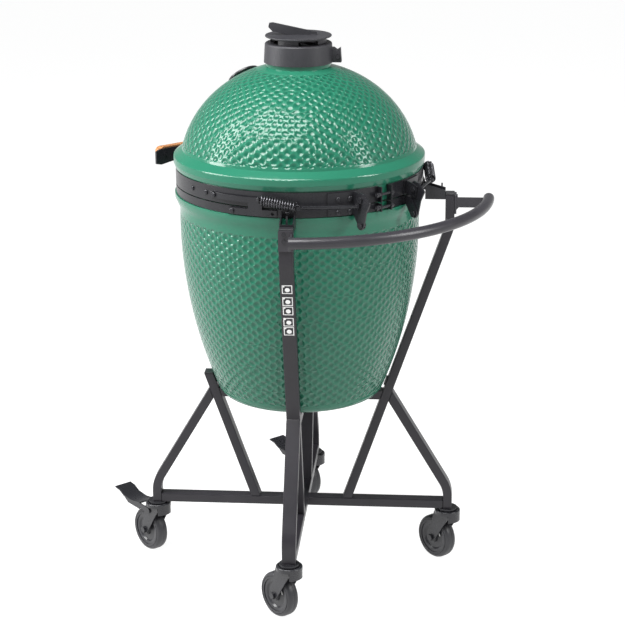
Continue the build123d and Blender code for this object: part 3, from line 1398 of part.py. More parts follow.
def brake_pedal(x, y):
    """A foot pedal that tips on a pin through the fork and presses the tyre."""
    with BuildPart() as pedal:
        with BuildSketch(side_plane(x)):
            with BuildLine():
                Polyline(
                    (y - 46, pivot_z + 9),
                    (y - 78, pivot_z + 5),
                    (y - 108, pivot_z + 9),
                    (y - 124, pivot_z + 18),
                    (y - PEDAL_REACH, pivot_z + 21),
                )
            trace(line_width=PEDAL_T)
        extrude(amount=PEDAL_W / 2, both=True)
        for side in SIDES:
            with BuildSketch(side_plane(x + side * (PEDAL_W - PEDAL_T) / 2)):
                with Locations((y + pivot_y, pivot_z)):
                    Circle(7)
                with Locations((y - 50, pivot_z + 5)):
                    Rectangle(10, 9)
                make_hull()
                with BuildLine():
                    Polyline(
                        (y - 44, pivot_z + 8),
                        (y - 46, pivot_z - 6),
                        (y - 92, pivot_z - 3),
                        (y - 108, pivot_z + 9),
                        (y - 78, pivot_z + 5),
                        close=True,
                    )
                make_face()
            extrude(amount=PEDAL_T / 2, both=True)
        with BuildSketch(side_plane(x - PEDAL_W / 2 + 1)):
            with Locations((y + pivot_y, pivot_z)):
                Circle(BOLT_R)
        extrude(amount=PEDAL_W - 2)
    return pedal.part


for angle, (x, y) in centres.items():
    braked = angle not in REAR_LEGS
    save(caster_fork(x, y, braked), f"{corner[angle]}_fork")
    save(caster_hub(x, y), f"{corner[angle]}_hub")
    save(caster_tyre(x, y), f"{corner[angle]}_tyre")
    if braked:
        save(brake_pedal(x, y), f"{corner[angle]}_pedal")
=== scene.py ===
# %% [markdown]
# # A kamado grill in a tubular stand
# This lesson dresses a finished mechanical model. The egg, the steel stand and every joint are already
# exact, so the work here is what the eye reads: a dimpled green glaze, powder coat, oiled wood, rubber, and
# the small wound and pressed pieces that plain solids leave out. Everything is in metres, +Z up, hinge
# towards +Y.

# %% Load the frame
import json
import math

import bmesh
import bpy
from mathutils import Matrix, Vector


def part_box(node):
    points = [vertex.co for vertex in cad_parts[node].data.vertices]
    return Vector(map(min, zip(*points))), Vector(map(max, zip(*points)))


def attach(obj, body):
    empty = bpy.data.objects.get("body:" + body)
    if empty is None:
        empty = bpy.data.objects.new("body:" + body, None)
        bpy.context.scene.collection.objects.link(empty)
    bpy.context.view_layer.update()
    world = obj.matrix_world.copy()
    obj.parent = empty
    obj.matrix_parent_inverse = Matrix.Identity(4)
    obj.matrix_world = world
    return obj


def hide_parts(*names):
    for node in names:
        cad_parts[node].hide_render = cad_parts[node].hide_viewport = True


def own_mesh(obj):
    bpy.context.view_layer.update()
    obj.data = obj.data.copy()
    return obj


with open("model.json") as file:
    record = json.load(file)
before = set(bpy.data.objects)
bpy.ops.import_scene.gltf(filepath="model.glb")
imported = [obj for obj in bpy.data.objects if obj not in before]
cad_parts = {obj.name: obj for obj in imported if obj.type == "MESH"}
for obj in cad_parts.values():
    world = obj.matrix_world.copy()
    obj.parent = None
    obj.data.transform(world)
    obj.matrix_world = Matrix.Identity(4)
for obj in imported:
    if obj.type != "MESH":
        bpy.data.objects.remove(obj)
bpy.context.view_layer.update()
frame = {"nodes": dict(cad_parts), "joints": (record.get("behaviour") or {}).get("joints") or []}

nodes = frame["nodes"]
joints = {joint["name"]: joint for joint in frame["joints"]}

# %% [markdown]
# ## Where the eye stands
# The camera looks past the push bar at the hinge side, from above the dome. A long lens keeps the egg from
# bulging. The place is given by an angle round the egg's own axis, a distance and a height, which is how a
# photographer would write it down, and the axes of the lens follow from its pitch and a slight roll.

# %% Camera
CAMERA_TURN = math.radians(49.88)
CAMERA_PITCH = math.radians(17.16)
CAMERA_ROLL = math.radians(0.44)
CAMERA_REACH = 4.1523
CAMERA_HEIGHT = 1.871
SENSOR = 36.0
FOCAL_LENGTH = 112.34
LENS_SHIFT = 0.0192
FAR_CLIP = 50

dome_low, dome_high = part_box("dome")
axis_y = (dome_low.y + dome_high.y) / 2
heading = Vector((math.cos(CAMERA_TURN), math.sin(CAMERA_TURN), 0))
forward = -heading * math.cos(CAMERA_PITCH) - Vector((0, 0, math.sin(CAMERA_PITCH)))
level = forward.cross(Vector((0, 0, 1))).normalized()
upright = level.cross(forward)
right = level * math.cos(CAMERA_ROLL) - upright * math.sin(CAMERA_ROLL)
above = level * math.sin(CAMERA_ROLL) + upright * math.cos(CAMERA_ROLL)

lens = bpy.data.cameras.new("camera")
lens.sensor_width = SENSOR
lens.lens = FOCAL_LENGTH
lens.shift_x = LENS_SHIFT
lens.dof.use_dof = False
lens.clip_end = FAR_CLIP
camera = bpy.data.objects.new("camera", lens)
bpy.context.scene.collection.objects.link(camera)
turned = Matrix((right, above, -forward)).transposed().to_4x4()
stand_point = heading * CAMERA_REACH + Vector((0, axis_y, CAMERA_HEIGHT))
camera.matrix_world = Matrix.Translation(stand_point) @ turned
bpy.context.scene.camera = camera
print("camera at", [round(v, 3) for v in stand_point])

# %% [markdown]
# ## How a finish is built
# Each finish is one Principled shader. What is the same all over a surface is typed on its own socket, and
# what varies, such as colour, roughness and relief, comes from noise that reads the object's own
# coordinates. A few helpers keep the node work short: arithmetic, coordinates, noise, a two-colour mix, a
# change of range and relief. The sky uses the mix too.


# %% Helpers for node work
MIX_FIRST, MIX_SECOND, MIX_RESULT = 6, 7, 2


def maths(tree, operation, *values):
    """One Math node. A value is a number or another node's output."""
    node = tree.nodes.new("ShaderNodeMath")
    node.operation = operation
    for place, value in enumerate(values):
        if isinstance(value, (int, float)):
            node.inputs[place].default_value = value
        else:
            tree.links.new(value, node.inputs[place])
    return node.outputs[0]


def object_place(tree, centre=(0, 0, 0), stretch=(1, 1, 1)):
    """The object's own coordinates, counted from a centre and stretched."""
    where = tree.nodes.new("ShaderNodeTexCoord")
    mapping = tree.nodes.new("ShaderNodeMapping")
    mapping.inputs["Location"].default_value = [-c * s for c, s in zip(centre, stretch)]
    mapping.inputs["Scale"].default_value = stretch
    tree.links.new(where.outputs["Object"], mapping.inputs["Vector"])
    return mapping.outputs["Vector"]


def noise(tree, vector, scale, detail=3.0, roughness=0.5):
    """Fractal noise from 0 to 1."""
    node = tree.nodes.new("ShaderNodeTexNoise")
    node.inputs["Scale"].default_value = scale
    node.inputs["Detail"].default_value = detail
    node.inputs["Roughness"].default_value = roughness
    tree.links.new(vector, node.inputs["Vector"])
    return node.outputs["Fac"]


def blend_colours(tree, share, first, second):
    """first where share is 0, second where it is 1."""
    node = tree.nodes.new("ShaderNodeMix")
    node.data_type = "RGBA"
    node.clamp_factor = True
    tree.links.new(share, node.inputs["Factor"])
    for socket, value in ((node.inputs[MIX_FIRST], first), (node.inputs[MIX_SECOND], second)):
        if isinstance(value, tuple):
            socket.default_value = (*value, 1)
        else:
            tree.links.new(value, socket)
    return node.outputs[MIX_RESULT]


def spread(tree, value, low, high):
    """0 to 1 becomes low to high."""
    node = tree.nodes.new("ShaderNodeMapRange")
    node.inputs["To Min"].default_value = low
    node.inputs["To Max"].default_value = high
    tree.links.new(value, node.inputs["Value"])
    return node.outputs[0]


def relief(tree, height, depth, strength=1.0, under=None):
    """Bump: height 0 to 1 stands for depth in metres."""
    node = tree.nodes.new("ShaderNodeBump")
    node.inputs["Strength"].default_value = strength
    node.inputs["Distance"].default_value = depth
    tree.links.new(height, node.inputs["Height"])
    if under is not None:
        tree.links.new(under, node.inputs["Normal"])
    return node.outputs["Normal"]


def finish(name, **sockets):
    """A material with a Principled shader. Returns the material, its tree and the shader."""
    material = bpy.data.materials.new(name)
    material.use_nodes = True
    tree = material.node_tree
    shader = tree.nodes["Principled BSDF"]
    for socket, value in sockets.items():
        shader.inputs[socket.replace("_", " ")].default_value = value
    return material, tree, shader


# %% [markdown]
# ## A pale room
# Product light is big and soft, but glaze needs something darker to mirror, or it looks like chalk. So the
# sky is bright only near the ground and falls to grey overhead, and three large panels stand in for
# softboxes: a broad one high on the left, which lights the cups from above, a tall strip on the left flank,
# and a weaker one on the right. The floor is one grey sheet with an even white glow, as a sweep lit from
# below has.

# %% Sky, panels and floor
SKY_LOW = (1.0, 1.0, 1.0)
SKY_HIGH = (0.20, 0.22, 0.22)
SKY = 0.46
SKY_FALL_FROM = -0.05
SKY_FALL_TO = 0.65
world = bpy.data.worlds.new("studio")
world.use_nodes = True
sky_tree = world.node_tree
sky = sky_tree.nodes["Background"]
sky.inputs["Strength"].default_value = SKY
sky_place = sky_tree.nodes.new("ShaderNodeTexCoord")
sky_parts = sky_tree.nodes.new("ShaderNodeSeparateXYZ")
sky_tree.links.new(sky_place.outputs["Generated"], sky_parts.inputs[0])
sky_fall = sky_tree.nodes.new("ShaderNodeMapRange")
sky_fall.interpolation_type = "SMOOTHSTEP"
sky_fall.inputs["From Min"].default_value = SKY_FALL_FROM
sky_fall.inputs["From Max"].default_value = SKY_FALL_TO
sky_tree.links.new(sky_parts.outputs["Z"], sky_fall.inputs["Value"])
sky_tree.links.new(blend_colours(sky_tree, sky_fall.outputs[0], SKY_LOW, SKY_HIGH), sky.inputs["Color"])
bpy.context.scene.world = world
bpy.context.scene.view_settings.view_transform = "Standard"


def panel(name, turn, lift, reach, size, watts):
    """A rectangular soft light that faces the egg, at an angle round the egg from the camera's own."""
    light = bpy.data.lights.new(name, "AREA")
    light.shape = "RECTANGLE"
    light.size, light.size_y = size
    light.energy = watts
    lamp = bpy.data.objects.new(name, light)
    bpy.context.scene.collection.objects.link(lamp)
    side = CAMERA_TURN + math.radians(turn)
    rise = math.radians(lift)
    away = Vector((math.cos(side) * math.cos(rise), math.sin(side) * math.cos(rise), math.sin(rise)))
    facing = away.to_track_quat("Z", "Y").to_matrix().to_4x4()
    lamp.matrix_world = Matrix.Translation(egg_heart + away * reach) @ facing


EGG_HEART_HEIGHT = 0.85
egg_heart = Vector((0, axis_y, EGG_HEART_HEIGHT))
panel("key_panel", -34, 62, 3.2, (2.4, 1.6), 210)
panel("left_strip", -84, 26, 2.8, (1.0, 2.2), 120)
panel("right_strip", 66, 28, 3.2, (0.7, 2.0), 75)

FLOOR_HALF = 12
FLOOR_GREY = 0.2
FLOOR_ROUGHNESS = 0.8
FLOOR_GLOW = 0.93
sheet = bmesh.new()
bmesh.ops.create_grid(sheet, x_segments=1, y_segments=1, size=FLOOR_HALF)
floor_mesh = bpy.data.meshes.new("floor")
sheet.to_mesh(floor_mesh)
sheet.free()
floor = bpy.data.objects.new("floor", floor_mesh)
bpy.context.scene.collection.objects.link(floor)
floor_paint = bpy.data.materials.new("floor_paint")
floor_paint.use_nodes = True
floor_shader = floor_paint.node_tree.nodes["Principled BSDF"]
floor_shader.inputs["Base Color"].default_value = (FLOOR_GREY, FLOOR_GREY, FLOOR_GREY, 1)
floor_shader.inputs["Roughness"].default_value = FLOOR_ROUGHNESS
floor_shader.inputs["Emission Color"].default_value = (1, 1, 1, 1)
floor_shader.inputs["Emission Strength"].default_value = FLOOR_GLOW
floor_mesh.materials.append(floor_paint)

# %% [markdown]
# ## The glaze
# The egg is glossy green glaze over ceramic pressed with shallow round cups. The cups stand in staggered
# rows, which is two plain grids, one set between the points of the other, so the relief is the nearer cup
# of the two. Rows are counted along the wall, and each belt of rows has its own whole number of cups, so
# that they keep their size where the egg narrows. Noise makes them wander, as hand-pressed cups do. Each
# cup is painted darker, which is painted shade in the hollow, and a loose cloud of noise darkens the glaze
# a little at random. The rims, the neck and the wall round the draft opening stay plain.

# %% Cup relief on a wall of revolution
CUP_ROW = 0.0095
CUP_STEP = 0.025
CUP_RADIUS = 0.0076
CUP_DEPTH = 0.0019
BELT_ROWS = 6
CUP_WANDER = 0.22


def cup_distance(tree, around, along, step):
    """Distance to the nearest cup of one plain grid."""
    side = maths(tree, "MULTIPLY", maths(tree, "SUBTRACT", around, maths(tree, "ROUND", around)), step)
    rise = maths(tree, "SUBTRACT", along, maths(tree, "ROUND", along))
    rise = maths(tree, "MULTIPLY", rise, 2 * CUP_ROW)
    square = maths(tree, "ADD", maths(tree, "MULTIPLY", side, side), maths(tree, "MULTIPLY", rise, rise))
    return maths(tree, "SQRT", square)


def cups(tree, x, y, climb, wander, belt_radius):
    """1 on the land between cups, 0 at the bottom of a cup."""
    belt = maths(tree, "FLOOR", maths(tree, "DIVIDE", climb, BELT_ROWS * CUP_ROW))
    middle = maths(tree, "MULTIPLY", maths(tree, "ADD", belt, 0.5), BELT_ROWS * CUP_ROW)
    girth = maths(tree, "MULTIPLY", belt_radius(tree, middle), math.tau)
    count = maths(tree, "ROUND", maths(tree, "DIVIDE", girth, CUP_STEP))
    step = maths(tree, "DIVIDE", girth, count)
    turn = maths(tree, "DIVIDE", maths(tree, "ARCTAN2", y, x), math.tau)
    around = maths(tree, "ADD", maths(tree, "MULTIPLY", turn, count), wander)
    along = maths(tree, "ADD", maths(tree, "DIVIDE", climb, 2 * CUP_ROW), wander)
    near = cup_distance(tree, around, along, step)
    shifted = cup_distance(tree, maths(tree, "ADD", around, 0.5), maths(tree, "ADD", along, 0.5), step)
    reach = maths(tree, "DIVIDE", maths(tree, "MINIMUM", near, shifted), CUP_RADIUS)
    return maths(tree, "MINIMUM", maths(tree, "MULTIPLY", reach, reach), 1.0)


def within(tree, value, low, high, soft):
    """1 between low and high, fading to 0 over soft on both sides."""
    rise = maths(tree, "DIVIDE", maths(tree, "SUBTRACT", value, low), soft)
    fall = maths(tree, "DIVIDE", maths(tree, "SUBTRACT", high, value), soft)
    edge = maths(tree, "MINIMUM", rise, fall)
    return maths(tree, "MAXIMUM", maths(tree, "MINIMUM", edge, 1.0), 0.0)


# %% Glaze for the dome and the base
GLAZE_LAND = (0.019, 0.132, 0.080)
# The dark glaze colour: painted shade in the cups, and random darker tone where the cloud reaches.
GLAZE_SHADE_AND_DARK_TONE = (0.006, 0.078, 0.046)
GLAZE_ROUGHNESS = 0.17
GLAZE_SHINE = 0.36
OPEN_END = 2.0
DOME_RADIUS = 0.2602
DOME_ARC = 0.246
NECK_REACH = 0.088
BASE_RADIUS = 0.2616
BASE_WIDEST = 0.399
BASE_BOW = 0.506
BASE_PLAIN_FOOT = 0.020
BASE_PLAIN_RIM = 0.062
PORT_HALF = 0.106
PORT_LOW = 0.012
PORT_HIGH = 0.124
PORT_BACK = -0.15
base_low, base_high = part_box("base")
rim_top = dome_low.z + 0.078
dome_heart = dome_low.z + 0.0234


def dome_belt(tree, climb):
    """Radius of the dome at a climb along its wall from the level of its heart."""
    return maths(tree, "MULTIPLY", maths(tree, "COSINE", maths(tree, "DIVIDE", climb, DOME_ARC)), DOME_RADIUS)


def base_belt(tree, climb):
    """Radius of the base at a height above its foot: one long arc, widest near the top."""
    off = maths(tree, "SUBTRACT", climb, BASE_WIDEST)
    sag = maths(tree, "MULTIPLY", maths(tree, "MULTIPLY", off, off), BASE_BOW)
    return maths(tree, "SUBTRACT", BASE_RADIUS, sag)


def glaze(name, on_dome):
    """Green glaze with pressed cups where that wall has them."""
    material, tree, shader = finish(name, Roughness=GLAZE_ROUGHNESS, Specular_IOR_Level=GLAZE_SHINE)
    place = object_place(tree, (0, axis_y, 0))
    parts = tree.nodes.new("ShaderNodeSeparateXYZ")
    tree.links.new(place, parts.inputs[0])
    x, y, z = parts.outputs
    square = maths(tree, "ADD", maths(tree, "MULTIPLY", x, x), maths(tree, "MULTIPLY", y, y))
    reach = maths(tree, "SQRT", square)
    wander = spread(tree, noise(tree, place, 28, 2), -CUP_WANDER, CUP_WANDER)
    if on_dome:
        angle = maths(tree, "ARCTAN2", maths(tree, "SUBTRACT", z, dome_heart), reach)
        climb = maths(tree, "MULTIPLY", angle, DOME_ARC)
        land = cups(tree, x, y, climb, wander, dome_belt)
        wall = within(tree, z, rim_top, OPEN_END, 0.003)
        area = maths(tree, "MULTIPLY", wall, within(tree, reach, NECK_REACH, OPEN_END, 0.004))
    else:
        climb = maths(tree, "SUBTRACT", z, base_low.z)
        land = cups(tree, x, y, climb, wander, base_belt)
        wall = within(tree, z, base_low.z + BASE_PLAIN_FOOT, base_high.z - BASE_PLAIN_RIM, 0.003)
        port = within(tree, x, -PORT_HALF, PORT_HALF, 0.002)
        port = maths(tree, "MULTIPLY", port, within(tree, y, -1, PORT_BACK, 0.002))
        port_rise = within(tree, z, base_low.z + PORT_LOW, base_low.z + PORT_HIGH, 0.002)
        port = maths(tree, "MULTIPLY", port, port_rise)
        area = maths(tree, "MULTIPLY", wall, maths(tree, "SUBTRACT", 1.0, port))
    height = maths(tree, "SUBTRACT", 1.0, maths(tree, "MULTIPLY", area, maths(tree, "SUBTRACT", 1.0, land)))
    orange_peel = relief(tree, noise(tree, place, 90, 2), 0.0006, 0.35)
    tree.links.new(relief(tree, height, CUP_DEPTH, 1.0, orange_peel), shader.inputs["Normal"])
    cloud = spread(tree, noise(tree, place, 9, 4), 0.0, 0.35)
    # Painted shade: the colour darkens to the dark glaze in every cup, as shade in the hollow would; the
    # cloud mixes in random darker tone.
    cup_shade_and_tone = maths(tree, "MAXIMUM", maths(tree, "SUBTRACT", 1.0, height), cloud)
    tree.links.new(blend_colours(tree, cup_shade_and_tone, GLAZE_LAND, GLAZE_SHADE_AND_DARK_TONE), shader.inputs["Base Color"])
    return material


dome_glaze = glaze("dome_glaze", True)
base_glaze = glaze("base_glaze", False)
print("cups of", CUP_RADIUS * 2000, "mm, rows", CUP_ROW * 1000, "mm apart")


# %% [markdown]
# ## Coated, cast and drawn metal
# Powder coat is a fine orange peel over a dark grey that drifts a little from place to place. Pressed
# pieces and bolts are smoother, cast pieces are rougher and grainier, and the spring wire is bare and
# bright. All of them are one recipe with other numbers. Stainless sheet has its own: fine lines along one
# direction.

# %% Metal finishes
def coated(name, dark, pale, roughness, grain, depth, metallic=0.0, specular=0.5):
    """A fine-grained coat whose colour drifts between two greys."""
    material, tree, shader = finish(name, Metallic=metallic, Specular_IOR_Level=specular)
    place = object_place(tree)
    drift = noise(tree, place, 14, 5, 0.6)
    colour = blend_colours(tree, spread(tree, drift, -0.3, 1.2), dark, pale)
    tree.links.new(colour, shader.inputs["Base Color"])
    fine = noise(tree, place, grain, 2)
    tree.links.new(spread(tree, fine, roughness - 0.08, roughness + 0.1), shader.inputs["Roughness"])
    tree.links.new(relief(tree, fine, depth, 0.4), shader.inputs["Normal"])
    return material


def drawn(name, dark, pale, stretch, roughness):
    """Bare steel with the fine lines of rolling or brushing along one direction."""
    material, tree, shader = finish(name, Metallic=1.0)
    lines = noise(tree, object_place(tree, stretch=stretch), 400, 3, 0.7)
    tree.links.new(blend_colours(tree, lines, dark, pale), shader.inputs["Base Color"])
    tree.links.new(spread(tree, lines, roughness - 0.08, roughness + 0.12), shader.inputs["Roughness"])
    tree.links.new(relief(tree, lines, 0.0002, 0.3), shader.inputs["Normal"])
    return material


frame_coat = coated("frame_coat", (0.014, 0.013, 0.016), (0.024, 0.022, 0.027), 0.36, 900, 0.0004, 0.0, 0.35)
bar_coat = coated("bar_coat", (0.021, 0.020, 0.024), (0.034, 0.032, 0.038), 0.32, 1100, 0.0002, 0.0, 0.4)
band_coat = coated("band_coat", (0.008, 0.008, 0.010), (0.018, 0.018, 0.021), 0.28, 800, 0.0003, 0.0, 0.4)
cap_coat = coated("cap_coat", (0.018, 0.018, 0.021), (0.030, 0.029, 0.034), 0.46, 650, 0.0007, 0.0, 0.35)
bolt_black = coated("bolt_black", (0.014, 0.014, 0.017), (0.04, 0.04, 0.045), 0.24, 700, 0.0002, 0.5)
fork_black = coated("fork_black", (0.010, 0.010, 0.012), (0.022, 0.022, 0.026), 0.26, 700, 0.0002)
spring_steel = coated("spring_steel", (0.05, 0.05, 0.055), (0.12, 0.12, 0.13), 0.2, 600, 0.0001, 0.8)
stainless = drawn("stainless", (0.42, 0.42, 0.42), (0.62, 0.62, 0.61), (0.08, 1, 1), 0.3)
grate_iron = coated("grate_iron", (0.018, 0.018, 0.018), (0.05, 0.048, 0.045), 0.6, 300, 0.001, 0.4)

# %% [markdown]
# ## Wood, rubber, nylon, felt, clay and glass
# The grip is oiled hardwood with its grain along X: rings stretched into long streaks, and fine dark pores.
# Rubber is a dull near-black with a little dust. The fire box is bare clay, and the gaskets are pale felt.


# %% Other finishes
def hardwood(name):
    """Oiled wood, grain along X."""
    material, tree, shader = finish(name, Coat_Weight=0.15, Coat_Roughness=0.25)
    place = object_place(tree, stretch=(0.12, 1, 1))
    rings = tree.nodes.new("ShaderNodeTexWave")
    rings.wave_type = "BANDS"
    rings.bands_direction = "Z"
    rings.inputs["Scale"].default_value = 60
    rings.inputs["Distortion"].default_value = 7
    rings.inputs["Detail"].default_value = 3
    tree.links.new(place, rings.inputs["Vector"])
    pores = noise(tree, object_place(tree, stretch=(0.05, 1, 1)), 900, 2)
    tone = blend_colours(tree, rings.outputs["Fac"], (0.28, 0.105, 0.035), (0.40, 0.18, 0.065))
    dark = spread(tree, pores, -1.2, 1.1)
    tree.links.new(blend_colours(tree, dark, tone, (0.12, 0.04, 0.014)), shader.inputs["Base Color"])
    tree.links.new(spread(tree, pores, 0.35, 0.55), shader.inputs["Roughness"])
    tree.links.new(relief(tree, pores, 0.0004, 0.4), shader.inputs["Normal"])
    return material


def moulded(name, dark, pale, roughness, grain=500, depth=0.0002):
    """Plastic or rubber with a fine moulded grain."""
    material, tree, shader = finish(name)
    place = object_place(tree)
    fine = noise(tree, place, grain, 2)
    drift = noise(tree, place, 25, 4)
    tree.links.new(blend_colours(tree, drift, dark, pale), shader.inputs["Base Color"])
    tree.links.new(spread(tree, fine, roughness - 0.06, roughness + 0.08), shader.inputs["Roughness"])
    tree.links.new(relief(tree, fine, depth, 0.4), shader.inputs["Normal"])
    return material


def clear_glass(name):
    """A thin clear pane."""
    material, tree, shader = finish(name, Roughness=0.02, IOR=1.45, Alpha=0.22)
    smudge = noise(tree, object_place(tree), 60, 3)
    tint = blend_colours(tree, smudge, (0.85, 0.9, 0.9), (0.95, 0.97, 0.97))
    tree.links.new(tint, shader.inputs["Base Color"])
    return material


grip_wood = hardwood("grip_wood")
tyre_rubber = moulded("tyre_rubber", (0.014, 0.014, 0.017), (0.030, 0.030, 0.034), 0.42)
hub_nylon = moulded("hub_nylon", (0.014, 0.014, 0.017), (0.028, 0.028, 0.032), 0.3)
black_plastic = moulded("black_plastic", (0.012, 0.012, 0.014), (0.024, 0.024, 0.027), 0.35)
felt = moulded("felt", (0.45, 0.43, 0.38), (0.62, 0.60, 0.55), 0.85, 700, 0.0012)
clay = moulded("clay", (0.36, 0.28, 0.21), (0.52, 0.43, 0.34), 0.8, 220, 0.001)
dial_white = moulded("dial_white", (0.80, 0.80, 0.77), (0.88, 0.88, 0.85), 0.5)
needle_red = moulded("needle_red", (0.52, 0.03, 0.015), (0.64, 0.05, 0.02), 0.35)
pane = clear_glass("pane")
label_white = moulded("label_white", (0.78, 0.78, 0.77), (0.86, 0.86, 0.85), 0.45)
dial_ink = moulded("dial_ink", (0.010, 0.010, 0.010), (0.022, 0.022, 0.022), 0.5)

# %% [markdown]
# ## Dress the mechanical pieces
# A piece whose shape is already right keeps its mesh and gets a finish. Its triangles are loose, so a few
# modifiers tidy the shading: one welds them, one rounds the sharp corners by a hair, as pressing and
# coating do, one parts the shading at sharp edges, and one lets the large flat faces rule it.

# %% A finish for every node
finishes = {
    "dome": dome_glaze, "base": base_glaze, "fire_box": clay, "fire_ring": clay,
    "upper_gasket": felt, "lower_gasket": felt, "upper_band": band_coat, "lower_band": band_coat,
    "upper_band_bolts": bolt_black, "lower_band_bolts": bolt_black, "dome_hinge_ears": band_coat,
    "base_hinge_ears": band_coat, "hinge_side_plates": band_coat, "hinge_bolts": bolt_black,
    "side_arms": band_coat, "leg_clips": band_coat, "right_spring_rod": bolt_black,
    "left_spring_rod": bolt_black, "damper_collar": cap_coat, "damper_cap": cap_coat,
    "damper_clamp_screw": bolt_black, "handle_bracket": band_coat, "handle_grip": grip_wood,
    "handle_screws": bolt_black, "thermometer_case": black_plastic, "thermometer_dial": dial_white,
    "thermometer_glass": pane, "thermometer_stem": stainless, "thermometer_needle": needle_red,
    "draft_frame": stainless, "draft_door": stainless, "draft_screen": stainless,
    "charcoal_grate": grate_iron, "cooking_grid": stainless, "rear_uprights": frame_coat,
    "front_stays": frame_coat, "outer_legs": frame_coat, "lower_cross": frame_coat,
    "egg_cross": frame_coat, "tube_plugs": black_plastic, "bumper_pads": black_plastic,
    "push_bar": bar_coat, "push_bar_screws": bolt_black, "caster_stems": bolt_black,
    "left_spring": spring_steel, "right_spring": spring_steel,
}
CASTERS = ("rear_right", "rear_left", "front_left", "front_right")
for corner in CASTERS:
    finishes[f"{corner}_fork"] = fork_black
    finishes[f"{corner}_hub"] = hub_nylon
    finishes[f"{corner}_tyre"] = tyre_rubber
    if f"{corner}_pedal" in nodes:
        finishes[f"{corner}_pedal"] = fork_black

for name, node in nodes.items():
    node.data.materials.clear()
    node.data.materials.append(finishes[name])
    node.data.polygons.foreach_set("use_smooth", [True] * len(node.data.polygons))
print(len(finishes), "nodes dressed")

# %% Shading of the nodes
TUBES = ("rear_uprights", "front_stays", "outer_legs", "lower_cross", "egg_cross")
ROUND_ONLY = ("dome", "base", "fire_box", "fire_ring", "upper_gasket", "lower_gasket")
TUBE_EDGE = 2.0
OTHER_EDGE = 0.35
WELD_WITHIN = 0.000005
CORNER_ANGLE = math.radians(40)
SHARP_ANGLE = math.radians(35)


def tidy_shading(node, width):
    """Weld, round by width in millimetres, and weight the normals."""
    weld = node.modifiers.new("weld", "WELD")
    weld.merge_threshold = WELD_WITHIN
    if width:
        edge = node.modifiers.new("edge", "BEVEL")
        edge.width = width / 1000
        edge.segments = 2
        edge.limit_method = "ANGLE"
        edge.angle_limit = CORNER_ANGLE
        edge.use_clamp_overlap = True
    split = node.modifiers.new("split", "EDGE_SPLIT")
    split.split_angle = SHARP_ANGLE
    split.use_edge_sharp = False
    even = node.modifiers.new("even", "WEIGHTED_NORMAL")
    even.keep_sharp = True


for name, node in nodes.items():
    if name in ROUND_ONLY:
        tidy_shading(node, 0)
    else:
        tidy_shading(node, TUBE_EDGE if name in TUBES else OTHER_EDGE)

# %% [markdown]
# ## Making a new piece
# Every new piece ends the same way: its doubles are merged, its normals are turned outwards, its mesh goes
# into one object at the origin, it gets a finish and it rides on a body. Small pieces are shaped flat or
# upright about the origin, where they are easy to think about, and are then set in place by one matrix
# whose columns are the piece's own three directions.


# %% Helpers for new pieces
DOUBLES_WITHIN = 0.000002


def setting(place, across, outward):
    """A matrix that puts local Z along outward and local X along across, at a place."""
    z = Vector(outward).normalized()
    x = (Vector(across) - z * z.dot(Vector(across))).normalized()
    turn = Matrix((x, z.cross(x), z)).transposed().to_4x4()
    return Matrix.Translation(place) @ turn


def piece(name, shape, material, body, stands_for=(), smooth_angle=SHARP_ANGLE):
    """Finish a bmesh as one object that rides on a body."""
    bmesh.ops.remove_doubles(shape, verts=shape.verts, dist=DOUBLES_WITHIN)
    bmesh.ops.recalc_face_normals(shape, faces=shape.faces)
    mesh = bpy.data.meshes.new(name)
    shape.to_mesh(mesh)
    shape.free()
    mesh.materials.append(material)
    mesh.polygons.foreach_set("use_smooth", [True] * len(mesh.polygons))
    made = bpy.data.objects.new(name, mesh)
    bpy.context.scene.collection.objects.link(made)
    split = made.modifiers.new("split", "EDGE_SPLIT")
    split.split_angle = smooth_angle
    split.use_edge_sharp = False
    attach(made, body)
    if stands_for:
        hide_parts(*stands_for)
    return made


def lathe(shape, outline, matrix, steps=64):
    """Turn an outline of (radius, height) points, in millimetres, a full turn about local Z."""
    verts = [shape.verts.new((r / 1000, 0, h / 1000)) for r, h in outline]
    edges = [shape.edges.new(pair) for pair in zip(verts, verts[1:] + verts[:1])]
    bmesh.ops.spin(
        shape, geom=verts + edges, cent=(0, 0, 0), axis=(0, 0, 1), angle=math.tau, steps=steps, use_merge=True
    )
    bmesh.ops.transform(shape, matrix=matrix, verts=shape.verts)


# %% [markdown]
# ## The coil springs
# Each hinge spring is a close coil of round wire with a hook at each end: one hook in the side arm's eye,
# one in the rod's. A helix is a spin with a step along its axis, so a circle of wire section goes round and
# forward at the same time. Opening the dome pushes the rod forward, but here the coil is one fixed piece
# riding on the stand, so it keeps its length.

# %% Springs
SPRING_RADIUS = 0.0115
WIRE_RADIUS = 0.00125
WIRE_SIDES = 8
COILS = 13
STEPS_A_TURN = 20
COIL_SHARP_ANGLE = math.radians(60)
HOOK_RADIUS = 0.005
HOOK_STEPS = 14
HOOK_SWEEP = math.tau * 0.999
HOOK_OVERLAP = 0.001
SPRING_FROM = math.radians(33.0)
SPRING_TO = math.radians(49.2)
FRONT_OUT = 0.0167
BACK_OUT = 0.0182
BACK_DROP = 0.015
band_low, band_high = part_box("upper_band")
band_radius = band_high.x
spring_rise = (band_low.z + band_high.z) / 2 + 0.0046


def spring_end(side, angle, out, drop):
    """A point beside the bands, at an angle round the egg and a distance outside them."""
    reach = band_radius + out
    return Vector((side * reach * math.cos(angle), axis_y + reach * math.sin(angle), spring_rise - drop))


def wire_section(shape, reach):
    """The wire's round section, capped, at a reach from the local Z axis and ready to be spun round it."""
    verts = bmesh.ops.create_circle(
        shape, cap_ends=True, segments=WIRE_SIDES, radius=WIRE_RADIUS,
        matrix=Matrix.Translation((reach, 0, 0)) @ Matrix.Rotation(math.radians(90), 4, "X"),
    )["verts"]
    edges = dict.fromkeys(edge for vert in verts for edge in vert.link_edges)
    faces = dict.fromkeys(face for vert in verts for face in vert.link_faces)
    return verts + list(edges) + list(faces)


